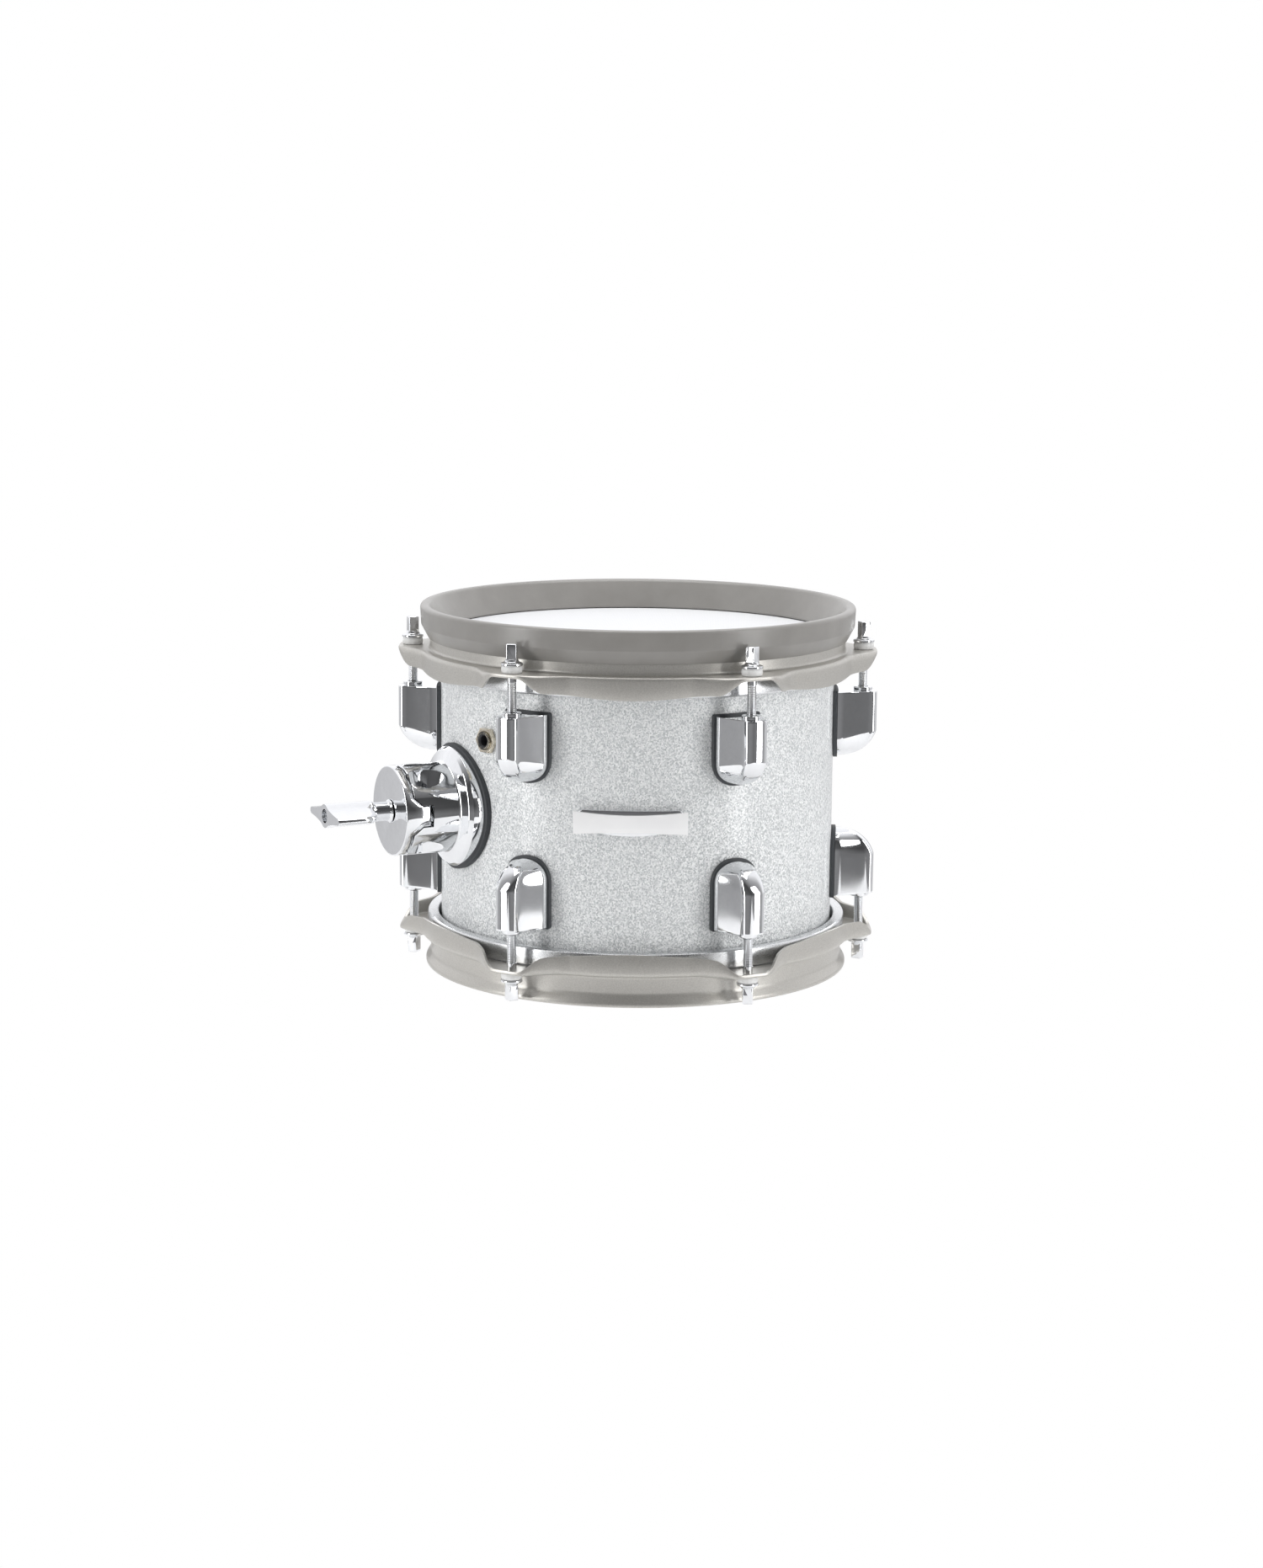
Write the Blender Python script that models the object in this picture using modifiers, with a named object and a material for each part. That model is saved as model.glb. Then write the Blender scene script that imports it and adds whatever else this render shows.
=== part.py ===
"""Electronic tom drum, 10 x 8 inch: a real wooden shell with twelve lugs, two flanged
hoops, a rubber rim cover, a mesh batter head, a rod clamp on its side and a trigger inside.

Metres, +Z up, front towards -Y. The origin is the centre of the playing surface.
Pieces of the shell are modelled about its middle plane, and the lower ones are the upper
ones turned over. Azimuths are in degrees round the drum from the front (-Y) towards +X.
"""

from math import cos, pi, radians, sin, sqrt

import bpy
import bmesh
from mathutils import Euler, Matrix, Vector

# Shell
SHELL_RADIUS = 0.127
SHELL_DEPTH = 0.2032
SHELL_WALL = 0.0065
BEARING_FLAT = 0.0012
BEARING_ROUND = 0.0012
BEARING_BEVEL = 0.0040
FACETS = 60
HEAD_FACETS = 40
RING_FACETS = 36
MOUNT_FACETS = 24

# Clearances, and how far the cutting shapes reach past what they cut
SEAT_GAP = 0.0003
RUNNING_GAP = 0.0005
HEAD_SIDE_GAP = 0.0009
FLESH_HOOP_GAP = 0.0018
CUT_PAST = 0.0100

# Heads
HEAD_THICKNESS = 0.0006
FLESH_HOOP_WALL = 0.0070
FLESH_HOOP_HEIGHT = 0.0115

# Hoops, with heights from the bearing edge
HOOP_SHEET = 0.0023
HOOP_WALL_INSET = 0.0018
HOOP_LIP_FLARE = 0.0032
HOOP_LIP_BAND = 0.0022
HOOP_FLARE_HEIGHT = 0.0050
HOOP_RIM_RISE = 0.0109
FLANGE_DROP = 0.0084
EAR_PAST_ROD = 0.0088
LOBE_PAST_FLESH_HOOP = 0.0050
SKIRT_TUCK = 0.0004
LOBE_SKIRT = 0.0146
EAR_TURN_DOWN = 0.0002
EAR_FLAT_ANGLE = 3.2
EAR_END_ANGLE = 9.0
LOBE_START_ANGLE = 15.0

# Rubber rim cover, with heights from the hoop's rim and its inner lip from the bearing edge
COVER_ABOVE_RIM = 0.0096
COVER_TAPER_BELOW_RIM = 0.0039
COVER_FOOT_BELOW_RIM = 0.0122
COVER_WALL = 0.0031
COVER_TAPER_IN = 0.0008
COVER_SHOULDER = 0.0021
COVER_BEAD = 0.0066
COVER_FOOT_WALL = 0.0008
COVER_LIP_REACH = 0.0075
COVER_LIP_RISE = 0.0052
COVER_LIP_THICKNESS = 0.0014
COVER_GRIP = 0.0005

# Lugs, with heights from the bearing edge
LUG_COUNT = 6
FIRST_LUG_AZIMUTH = 30.0
LUG_END_DROP = 0.0350
LUG_HEIGHT = 0.0425
LUG_PAST_ROD = 0.0091
LUG_BASE_EDGE = 0.0012
LUG_HALF_WIDTH = 0.0152
LUG_FACE_HALF_WIDTH = 0.0074
LUG_STRAIGHT = 0.0190
LUG_WAIST = 0.36
GASKET_THICKNESS = 0.0025
GASKET_MARGIN = 0.0012
RECEIVER_RADIUS = 0.0060
RECEIVER_RISE = 0.0024

# Tension rods
ROD_FROM_COVER = 0.0054
ROD_RADIUS = 0.0030
ROD_IN_LUG = 0.0180
WASHER_RADIUS = 0.0065
WASHER_THICKNESS = 0.0042
COLLAR_RADIUS = 0.0068
COLLAR_THICKNESS = 0.0016
NECK_HEIGHT = 0.0022
KEY_SQUARE = 0.00635
KEY_HEIGHT = 0.0096
KEY_TURN = 20.0

# Rod clamp on the shell, along its own axis, which points out of the drum
MOUNT_AZIMUTH = -62.0
MOUNT_DROP = 0.0017
MOUNT_GASKET_MARGIN = 0.0020
MOUNT_GASKET_THICKNESS = 0.0028
BASE_FLANGE_RADIUS = 0.0380
BASE_FLANGE_EDGE = 0.0014
BASE_FLANGE_RAMP = 0.0024
CONE_SHOULDER_RADIUS = 0.0360
BOSS_RADIUS = 0.0285
BOSS_START = 0.0097
BOSS_LENGTH = 0.0395
SPLIT_GAP = 0.0010
CAP_THICKNESS = 0.0053
CAP_EDGE = 0.0008
CLAMP_ROD_BORE = 0.0060
CLAMP_ROD_OFFSET = 0.0170
CLAMP_ROD_DEPTH = 0.0105
MOUTH_HALF_WIDTH = 0.0071
MOUTH_DEPTH = 0.0146
MOUTH_START = 0.0135
MOUTH_END = 0.0325
WEDGE_HALF_WIDTH = 0.0120
WEDGE_DEPTH = 0.0062
TONGUE_HALF_WIDTH = 0.0060
TONGUE_LENGTH = 0.0100
TONGUE_SIDE_GAP = 0.0010
TONGUE_END_GAP = 0.0030

# Clamp stud and wing nut
STUD_RADIUS = 0.0040
STUD_HEAD_RADIUS = 0.0072
STUD_HEAD_HEIGHT = 0.0055
STUD_HEAD_INSET = 0.0010
STUD_SHORT_OF_END = 0.0050
HUB_RADIUS = 0.0075
HUB_NECK_RADIUS = 0.0060
HUB_NECK_LENGTH = 0.0110
HUB_LENGTH = 0.0433
WING_REACH = 0.0252
WING_TIP_THICKNESS = 0.0042
WING_LENGTH = 0.0290
WING_ROUND = 0.0075

# Plate inside the shell that the clamp is bolted to
BACKING_HALF_SIZE = 0.0260
BACKING_THICKNESS = 0.0020
BACKING_BOLT_OFFSET = 0.0170
BACKING_BOLT_RADIUS = 0.0030
BOLT_HEAD_RADIUS = 0.0052
BOLT_HEAD_HEIGHT = 0.0035
BOLT_IN_BASE = 0.0070

# Badge
BADGE_WIDTH = 0.0705
BADGE_END_HEIGHT = 0.0144
BADGE_WAIST = 0.0017
BADGE_THICKNESS = 0.0012
BADGE_STANDOFF = 0.0055
BADGE_RISE = 0.0017
BADGE_BASE_INSET = 0.0018
BADGE_BASE_TOP = 0.0080
BADGE_BASE_BOTTOM = 0.0078
BADGE_BASE_BOW = 0.0048

# Output jack
JACK_AZIMUTH = -45.2
JACK_RISE = 0.0454
JACK_BORE_RADIUS = 0.0034
JACK_COUNTERSINK = 0.0044
JACK_BUSHING_RADIUS = 0.0057
JACK_BUSHING_RISE = 0.0040
JACK_NUT_RADIUS = 0.0086
JACK_NUT_HEIGHT = 0.0028
JACK_BODY_WIDTH = 0.0150
JACK_BODY_HEIGHT = 0.0170
JACK_BODY_LENGTH = 0.0260
JACK_WALL = 0.0020

# Trigger inside
BEAM_WIDTH = 0.0240
BEAM_THICKNESS = 0.0020
BEAM_LIP = 0.0060
BEAM_DROP = 0.0420
BRACKET_HEIGHT = 0.0200
SENSOR_PLATE_RADIUS = 0.0250
SENSOR_PLATE_THICKNESS = 0.0030
CONE_BASE_RADIUS = 0.0160
CONE_TIP_RADIUS = 0.0050
RIM_SENSOR_RADIUS = 0.0135
RIM_SENSOR_THICKNESS = 0.0040
RIM_SENSOR_OFFSET = 0.0600
LEAD_RADIUS = 0.0016
LEAD_STRAIGHT = 0.0200

# Worked-out heights and radii
EDGE_Z = SHELL_DEPTH / 2
MIDDLE_Z = -(HEAD_THICKNESS + SEAT_GAP + EDGE_Z)
SHELL_INNER = SHELL_RADIUS - SHELL_WALL
FLESH_HOOP_INNER = SHELL_RADIUS + FLESH_HOOP_GAP
FLESH_HOOP_RADIUS = FLESH_HOOP_INNER + FLESH_HOOP_WALL
FLANGE_Z = EDGE_Z - FLANGE_DROP
RIM_Z = EDGE_Z + HOOP_RIM_RISE
FLARE_FOOT_Z = RIM_Z - HOOP_LIP_BAND - HOOP_FLARE_HEIGHT
HOOP_WALL_RADIUS = FLESH_HOOP_RADIUS - HOOP_WALL_INSET
HOOP_WALL_INNER = HOOP_WALL_RADIUS - HOOP_SHEET
HOOP_LIP_RADIUS = HOOP_WALL_RADIUS + HOOP_LIP_FLARE
COVER_RADIUS = HOOP_LIP_RADIUS + COVER_WALL
ROD_CIRCLE_RADIUS = COVER_RADIUS + ROD_FROM_COVER
EAR_RADIUS = ROD_CIRCLE_RADIUS + EAR_PAST_ROD
LOBE_RADIUS = FLESH_HOOP_RADIUS + LOBE_PAST_FLESH_HOOP
EAR_SKIRT = HOOP_SHEET + EAR_TURN_DOWN
FLESH_TOP_Z = FLANGE_Z - HOOP_SHEET - SEAT_GAP
LUG_END_Z = EDGE_Z - LUG_END_DROP
LUG_TIP_Z = LUG_END_Z - LUG_HEIGHT
GASKET_INNER = SHELL_RADIUS + SEAT_GAP
GASKET_OUTER = GASKET_INNER + GASKET_THICKNESS
LUG_SEAT = GASKET_OUTER + SEAT_GAP
LUG_REACH = ROD_CIRCLE_RADIUS + LUG_PAST_ROD - LUG_SEAT
WASHER_Z = FLANGE_Z + SEAT_GAP
NECK_Z = WASHER_Z + WASHER_THICKNESS + COLLAR_THICKNESS
KEY_Z = NECK_Z + NECK_HEIGHT
MOUNT_GASKET_RADIUS = BASE_FLANGE_RADIUS + MOUNT_GASKET_MARGIN
MOUNT_GASKET_OUTER = GASKET_INNER + MOUNT_GASKET_THICKNESS
MOUNT_SEAT = MOUNT_GASKET_OUTER + SEAT_GAP
MOUNT_DEEPEST = sqrt(SHELL_INNER ** 2 - MOUNT_GASKET_RADIUS ** 2) - CUT_PAST
SPLIT_FACE = SHELL_RADIUS + BOSS_LENGTH
CAP_BACK = SPLIT_FACE + SPLIT_GAP
CAP_FACE = CAP_BACK + CAP_THICKNESS
CLAMP_ROD_CENTRE = SPLIT_FACE - CLAMP_ROD_DEPTH
NUT_SEAT = CAP_FACE + SEAT_GAP
NUT_END = NUT_SEAT + HUB_LENGTH
BADGE_BASE_HALF_WIDTH = BADGE_WIDTH / 2 - BADGE_BASE_INSET
BEAM_Z = EDGE_Z - BEAM_DROP

LUG_AZIMUTHS = [FIRST_LUG_AZIMUTH + 360 / LUG_COUNT * index for index in range(LUG_COUNT)]


def clear_scene():
    for item in list(bpy.data.objects):
        bpy.data.objects.remove(item, do_unlink=True)


def new_collection(name):
    collection = bpy.data.collections.new(name)
    bpy.context.scene.collection.children.link(collection)
    return collection


clear_scene()
DRUM = new_collection("electronic_tom_drum")
CUTTERS = new_collection("cutters")


# Materials
def material(name, colour, roughness, metallic=0.0):
    made = bpy.data.materials.get(name) or bpy.data.materials.new(name)
    made.use_nodes = True
    shader = made.node_tree.nodes["Principled BSDF"]
    shader.inputs["Base Color"].default_value = (*colour, 1.0)
    shader.inputs["Roughness"].default_value = roughness
    shader.inputs["Metallic"].default_value = metallic
    made.diffuse_color = (*colour, 1.0)
    return made


def sparkle_wrap():
    return material("silver_sparkle_wrap", (0.62, 0.64, 0.66), 0.22)


def satin_metal():
    return material("warm_grey_satin_metal", (0.36, 0.34, 0.31), 0.38, 1.0)


def grey_rubber():
    return material("warm_grey_rubber", (0.30, 0.29, 0.27), 0.75)


def mesh_fabric():
    return material("white_mesh_fabric", (0.85, 0.86, 0.88), 0.85)


def white_film():
    return material("white_plastic", (0.75, 0.76, 0.78), 0.45)


def aluminium():
    return material("drawn_aluminium", (0.72, 0.72, 0.73), 0.30, 1.0)


def chrome():
    return material("chrome_plate", (0.80, 0.81, 0.83), 0.06, 1.0)


def black_rubber():
    return material("black_rubber", (0.035, 0.037, 0.040), 0.80)


def nickel():
    return material("nickel_plate", (0.72, 0.66, 0.55), 0.22, 1.0)


def badge_white():
    return material("white_enamel", (0.88, 0.88, 0.88), 0.20)


def black_plastic():
    return material("black_plastic", (0.04, 0.04, 0.045), 0.50)


def zinc_steel():
    return material("zinc_plated_steel", (0.55, 0.56, 0.57), 0.40, 1.0)


def grey_foam():
    return material("grey_foam", (0.16, 0.16, 0.17), 0.95)


# Objects
def add_object(name, mesh):
    item = bpy.data.objects.new(name, mesh)
    DRUM.objects.link(item)
    return item


def add_empty(name, location=(0, 0, 0), rotation=(0, 0, 0), parent=None):
    empty = bpy.data.objects.new(name, None)
    empty.empty_display_size = 0.02
    empty.location = location
    empty.rotation_euler = rotation
    empty.parent = parent
    DRUM.objects.link(empty)
    return empty


def smooth(mesh, angle=32):
    mesh.shade_smooth()
    mesh.set_sharp_from_angle(angle=radians(angle))


def mesh_from(bm, name):
    mesh = bpy.data.meshes.new(name)
    bmesh.ops.recalc_face_normals(bm, faces=bm.faces)
    bm.to_mesh(mesh)
    bm.free()
    return mesh


def applied(item):
    """The evaluated mesh of an object, with its modifiers made real."""
    bpy.context.view_layer.update()
    graph = bpy.context.evaluated_depsgraph_get()
    mesh = bpy.data.meshes.new_from_object(item.evaluated_get(graph), depsgraph=graph)
    item.modifiers.clear()
    item.data = mesh
    return item


def as_cutter(item):
    for collection in list(item.users_collection):
        collection.objects.unlink(item)
    CUTTERS.objects.link(item)
    item.hide_render = True
    item.display_type = "WIRE"
    return item


def combine(item, other, operation):
    """Joins or cuts an object with another, and keeps the result as its mesh."""
    step = item.modifiers.new(operation.lower(), "BOOLEAN")
    step.operation = operation
    step.solver = "EXACT"
    step.object = other
    applied(item)
    bpy.data.objects.remove(other, do_unlink=True)
    return item


def cut(item, *others):
    for other in others:
        combine(item, as_cutter(other), "DIFFERENCE")
    return item


def join(item, *others):
    for other in others:
        combine(item, as_cutter(other), "UNION")
    return item


def keep_inside(item, other):
    return combine(item, as_cutter(other), "INTERSECT")


def turned(name, profile, sides=FACETS, closed=False):
    """A shape turned about the local Z axis.

    The profile is (radius, height) points: from the axis at the top down the outer side
    to the axis at the bottom, or once round a ring's section when closed.
    """
    bm = bmesh.new()
    points = [bm.verts.new((radius, 0, height)) for radius, height in profile]
    pairs = list(zip(points, points[1:]))
    if closed:
        pairs.append((points[-1], points[0]))
    for first, second in pairs:
        bm.edges.new((first, second))
    mesh = bpy.data.meshes.new(name)
    bm.to_mesh(mesh)
    bm.free()
    item = add_object(name, mesh)
    screw = item.modifiers.new("turned", "SCREW")
    screw.axis = "Z"
    screw.steps = sides
    screw.render_steps = sides
    screw.use_merge_vertices = True
    screw.merge_threshold = 0.00001
    return applied(item)


def cylinder(name, radius, low, high, sides=24, top_radius=None, turn=0.0):
    """A closed cylinder or cone along local Z between two heights."""
    bm = bmesh.new()
    bmesh.ops.create_cone(
        bm,
        cap_ends=True,
        segments=sides,
        radius1=radius,
        radius2=radius if top_radius is None else top_radius,
        depth=high - low,
        matrix=Matrix.Rotation(radians(turn), 4, "Z"),
    )
    bmesh.ops.translate(bm, verts=bm.verts, vec=(0, 0, (low + high) / 2))
    return add_object(name, mesh_from(bm, name))


def box(name, low, high):
    bm = bmesh.new()
    bmesh.ops.create_cube(bm, size=1.0)
    size = Vector(high) - Vector(low)
    bmesh.ops.scale(bm, verts=bm.verts, vec=size)
    bmesh.ops.translate(bm, verts=bm.verts, vec=(Vector(high) + Vector(low)) / 2)
    return add_object(name, mesh_from(bm, name))


def prism(name, outline, low, high):
    """A flat outline of (x, y) points raised between two heights."""
    bm = bmesh.new()
    face = bm.faces.new([bm.verts.new((x, y, low)) for x, y in outline])
    raised = bmesh.ops.extrude_face_region(bm, geom=[face])
    top = [item for item in raised["geom"] if isinstance(item, bmesh.types.BMVert)]
    bmesh.ops.translate(bm, verts=top, vec=(0, 0, high - low))
    return add_object(name, mesh_from(bm, name))


def loft(name, sections, ring=False):
    """Closed sections of equal point counts, joined in order and capped, or made a ring."""
    bm = bmesh.new()
    loops = [[bm.verts.new(point) for point in section] for section in sections]
    count = len(loops[0])
    pairs = list(zip(loops, loops[1:]))
    if ring:
        pairs.append((loops[-1], loops[0]))
    for first, second in pairs:
        for index in range(count):
            after = (index + 1) % count
            bm.faces.new((first[index], first[after], second[after], second[index]))
    if not ring:
        bm.faces.new(loops[0])
        bm.faces.new(list(reversed(loops[-1])))
    return add_object(name, mesh_from(bm, name))


def move(item, location=(0, 0, 0), rotation=(0, 0, 0)):
    """Moves the mesh itself, so that the object keeps its origin."""
    matrix = Matrix.Translation(location) @ Euler(rotation).to_matrix().to_4x4()
    item.data.transform(matrix)
    return item


def finish_as(item, name, finish, parent, angle=32):
    item.name = name
    item.data.name = name
    item.data.materials.clear()
    item.data.materials.append(finish)
    item.parent = parent
    smooth(item.data, angle)
    return item


def copy_of(item, name, parent, location=(0, 0, 0), rotation=(0, 0, 0)):
    twin = bpy.data.objects.new(name, item.data)
    DRUM.objects.link(twin)
    twin.parent = parent
    twin.location = location
    twin.rotation_euler = rotation
    return twin


def drum_cylinder(name, radius):
    """A cylinder about the drum's axis whose facets lie along the shell's own."""
    return cylinder(name, radius, -EDGE_Z, EDGE_Z, FACETS)


def smoothstep(value, low, high):
    share = min(max((value - low) / (high - low), 0.0), 1.0)
    return share * share * (3 - 2 * share)


# Shell
def make_shell(parent):
    edge_radius = SHELL_RADIUS - BEARING_ROUND
    flat_end = edge_radius - BEARING_FLAT
    upper = [
        (SHELL_INNER, EDGE_Z - BEARING_BEVEL),
        (flat_end, EDGE_Z),
        (edge_radius, EDGE_Z),
        (SHELL_RADIUS, EDGE_Z - BEARING_ROUND),
    ]
    lower = [(radius, -height) for radius, height in reversed(upper)]
    shell = turned("shell", upper + lower, closed=True)
    cut(shell, jack_hole_cutter(), *mount_hole_cutters())
    return finish_as(shell, "shell", sparkle_wrap(), parent)


# Heads
def make_head(name, finish, parent, lower=False):
    top = EDGE_Z + SEAT_GAP + HEAD_THICKNESS
    under = EDGE_Z + SEAT_GAP
    foot = FLESH_TOP_Z + SEAT_GAP
    shoulder = SHELL_RADIUS + HEAD_SIDE_GAP
    foot_radius = HOOP_WALL_INNER - HEAD_SIDE_GAP
    outside = [
        (0, top),
        (SHELL_RADIUS - BEARING_ROUND, top),
        (shoulder + HEAD_THICKNESS, EDGE_Z - BEARING_ROUND),
        (foot_radius, foot),
    ]
    inside = [
        (foot_radius - HEAD_THICKNESS * 1.4, foot),
        (shoulder, EDGE_Z - BEARING_ROUND),
        (SHELL_RADIUS - BEARING_ROUND, under),
        (0, under),
    ]
    head = turned(name, outside + inside, HEAD_FACETS)
    head = finish_as(head, name, finish, parent)
    head.rotation_euler = (0, pi if lower else 0, 0)
    return head


def make_flesh_hoops(parent):
    section = [
        (FLESH_HOOP_INNER, FLESH_TOP_Z),
        (FLESH_HOOP_RADIUS, FLESH_TOP_Z),
        (FLESH_HOOP_RADIUS, FLESH_TOP_Z - FLESH_HOOP_HEIGHT),
        (FLESH_HOOP_INNER, FLESH_TOP_Z - FLESH_HOOP_HEIGHT),
    ]
    ring = turned("batter_flesh_hoop", section, RING_FACETS, closed=True)
    ring = finish_as(ring, "batter_flesh_hoop", aluminium(), parent)
    copy_of(ring, "bottom_flesh_hoop", parent, rotation=(0, pi, 0))


# Hoops and rim cover
def hoop_azimuths():
    """Azimuths round the hoop, close together at the ears where its outline turns."""
    half = 180 / LUG_COUNT
    turn = LOBE_START_ANGLE - EAR_FLAT_ANGLE
    bends = [EAR_FLAT_ANGLE + turn * share for share in (0.0, 0.29, 0.75)]
    steps = [0.0, *bends, (bends[-1] + half) / 2, half]
    lobe = steps + [2 * half - angle for angle in reversed(steps[1:-1])]
    return [ear + angle for ear in LUG_AZIMUTHS for angle in lobe]


def angle_from_ear(azimuth):
    pitch = 360 / LUG_COUNT
    offset = (azimuth - FIRST_LUG_AZIMUTH) % pitch
    return min(offset, pitch - offset)


def round_drum(radius, azimuth, height):
    turn = radians(azimuth)
    return Vector((radius * sin(turn), -radius * cos(turn), height))


def hoop_outline(azimuth):
    """The outer skin of the hoop at one azimuth, from its rim to the skirt's edge."""
    away = angle_from_ear(azimuth)
    lobe = smoothstep(away, EAR_FLAT_ANGLE, LOBE_START_ANGLE)
    drop = smoothstep(away, EAR_FLAT_ANGLE, EAR_END_ANGLE)
    slow = smoothstep(away, EAR_END_ANGLE / 2, 180 / LUG_COUNT)
    fold = EAR_RADIUS + (LOBE_RADIUS - EAR_RADIUS) * lobe
    skirt = EAR_SKIRT + (LOBE_SKIRT - EAR_SKIRT) * (0.72 * drop + 0.28 * slow)
    return [
        (HOOP_LIP_RADIUS, RIM_Z),
        (HOOP_LIP_RADIUS, RIM_Z - HOOP_LIP_BAND),
        (HOOP_WALL_RADIUS, FLARE_FOOT_Z),
        (HOOP_WALL_RADIUS, FLANGE_Z),
        (fold, FLANGE_Z),
        (fold - SKIRT_TUCK, FLANGE_Z - skirt),
    ]


def hoop_skin(name):
    """The hoop's outer skin as an open strip round the drum."""
    bm = bmesh.new()
    loops = []
    for azimuth in hoop_azimuths():
        outline = hoop_outline(azimuth)
        loops.append([bm.verts.new(round_drum(r, azimuth, h)) for r, h in outline])
    for first, second in zip(loops, loops[1:] + loops[:1]):
        for index in range(len(first) - 1):
            bm.faces.new((first[index], first[index + 1], second[index + 1], second[index]))
    mesh = bpy.data.meshes.new(name)
    bm.to_mesh(mesh)
    bm.free()
    return add_object(name, mesh)


def make_hoops(parent):
    hoop = hoop_skin("batter_hoop")
    sheet = hoop.modifiers.new("sheet", "SOLIDIFY")
    sheet.thickness = HOOP_SHEET
    sheet.offset = -1.0
    sheet.use_even_offset = True
    sheet.use_rim = True
    applied(hoop)
    for azimuth in LUG_AZIMUTHS:
        low = FLANGE_Z - HOOP_SHEET * 2
        high = FLANGE_Z + HOOP_SHEET
        hole = cylinder("ear_hole", ROD_RADIUS + RUNNING_GAP, low, high, 8, turn=22.5)
        place = round_drum(ROD_CIRCLE_RADIUS, azimuth, 0)
        cut(hoop, move(hole, place, (0, 0, radians(azimuth))))
    hoop = finish_as(hoop, "batter_hoop", satin_metal(), parent)
    copy_of(hoop, "bottom_hoop", parent, rotation=(0, pi, 0))


def cover_section():
    """The rim cover's section: round bead, tapered skirt, grip on the rim, inner lip."""
    top = RIM_Z + COVER_ABOVE_RIM
    taper = RIM_Z - COVER_TAPER_BELOW_RIM
    foot = RIM_Z - COVER_FOOT_BELOW_RIM
    wall = HOOP_WALL_RADIUS + COVER_GRIP
    lip = HOOP_LIP_RADIUS + COVER_GRIP
    inner_wall = HOOP_WALL_INNER - COVER_GRIP
    bead_inner = COVER_RADIUS - COVER_BEAD
    lip_end = SHELL_RADIUS - COVER_LIP_REACH
    lip_top = EDGE_Z + COVER_LIP_RISE
    return [
        (COVER_RADIUS - COVER_SHOULDER, top),
        (COVER_RADIUS, top - COVER_SHOULDER),
        (COVER_RADIUS - COVER_TAPER_IN, taper),
        (wall + COVER_FOOT_WALL, foot),
        (wall, foot),
        (wall, FLARE_FOOT_Z),
        (lip, RIM_Z - HOOP_LIP_BAND),
        (lip, RIM_Z + COVER_GRIP),
        (inner_wall, RIM_Z + COVER_GRIP),
        (inner_wall, FLARE_FOOT_Z - COVER_LIP_THICKNESS),
        (lip_end, lip_top - COVER_LIP_THICKNESS),
        (lip_end, lip_top),
        (bead_inner, top - COVER_SHOULDER),
        (bead_inner + COVER_SHOULDER, top),
    ]


def make_rim_cover(parent):
    section = cover_section()
    sections = [[round_drum(r, azimuth, h) for r, h in section] for azimuth in hoop_azimuths()]
    cover = loft("rim_cover", sections, ring=True)
    return finish_as(cover, "rim_cover", grey_rubber(), parent)


# Lugs, gaskets and tension rods
def lug_section(height):
    """The lug's section at one height, facing -Y: a narrow face that flares to its base."""
    fall = LUG_END_Z - height
    bend = max(fall - LUG_STRAIGHT, 0.0) / (LUG_HEIGHT - LUG_STRAIGHT)
    reach = max(LUG_REACH * sqrt(max(1 - bend * bend, 0.0)), LUG_BASE_EDGE * 1.2)
    from_tip = height - LUG_TIP_Z
    round_end = max(1 - from_tip / LUG_HALF_WIDTH, 0.0)
    share = sqrt(max(1 - round_end ** 2.6, 0.03))
    base = LUG_HALF_WIDTH * share
    face = LUG_FACE_HALF_WIDTH * share
    waist = face + (base - face) * LUG_WAIST
    half = [
        (base, SHELL_INNER),
        (base, LUG_SEAT + min(LUG_BASE_EDGE, reach * 0.5)),
        (waist, LUG_SEAT + reach * 0.42),
        (face, LUG_SEAT + reach * 0.89),
        (face * 0.55, LUG_SEAT + reach),
    ]
    points = half + [(-x, y) for x, y in reversed(half)]
    return [Vector((x, -y, height)) for x, y in points]


def make_lugs(parent):
    shares = (0.0, 0.48, 0.76, 0.92, 1.0)
    heights = [LUG_END_Z - LUG_HEIGHT * share for share in shares]
    lug = loft("lug", [lug_section(height) for height in heights])
    cut(lug, drum_cylinder("seat", LUG_SEAT))
    top = LUG_END_Z + RECEIVER_RISE
    receiver = cylinder("receiver", RECEIVER_RADIUS, LUG_END_Z - RECEIVER_RISE, top, 8)
    join(lug, move(receiver, (0, -ROD_CIRCLE_RADIUS, 0)))
    bore_end = LUG_END_Z - ROD_IN_LUG - ROD_RADIUS
    bore = cylinder("bore", ROD_RADIUS + RUNNING_GAP, bore_end, top + RECEIVER_RISE, 8)
    cut(lug, move(bore, (0, -ROD_CIRCLE_RADIUS, 0)))
    lug = finish_as(lug, "lug_pattern", chrome(), None, 40)
    place_round(lug, "lug", parent)


def gasket_outline():
    width = LUG_HALF_WIDTH + GASKET_MARGIN
    top = LUG_END_Z + GASKET_MARGIN
    bottom = LUG_TIP_Z - GASKET_MARGIN
    turns = [radians(angle) for angle in (0, 35, 68)]
    side = [(width * cos(turn) ** 0.8, bottom + width * (1 - sin(turn))) for turn in turns]
    points = [(width, top)] + side + [(0.0, bottom)]
    return points + [(-x, y) for x, y in reversed(points[:-1])]


def make_gaskets(parent):
    plate = prism("gasket", gasket_outline(), GASKET_INNER - CUT_PAST, GASKET_OUTER + CUT_PAST)
    move(plate, rotation=(pi / 2, 0, 0))
    keep_inside(plate, drum_cylinder("outer", GASKET_OUTER))
    cut(plate, drum_cylinder("inner", GASKET_INNER))
    plate = finish_as(plate, "gasket_pattern", black_rubber(), None)
    place_round(plate, "lug_gasket", parent)


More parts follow.
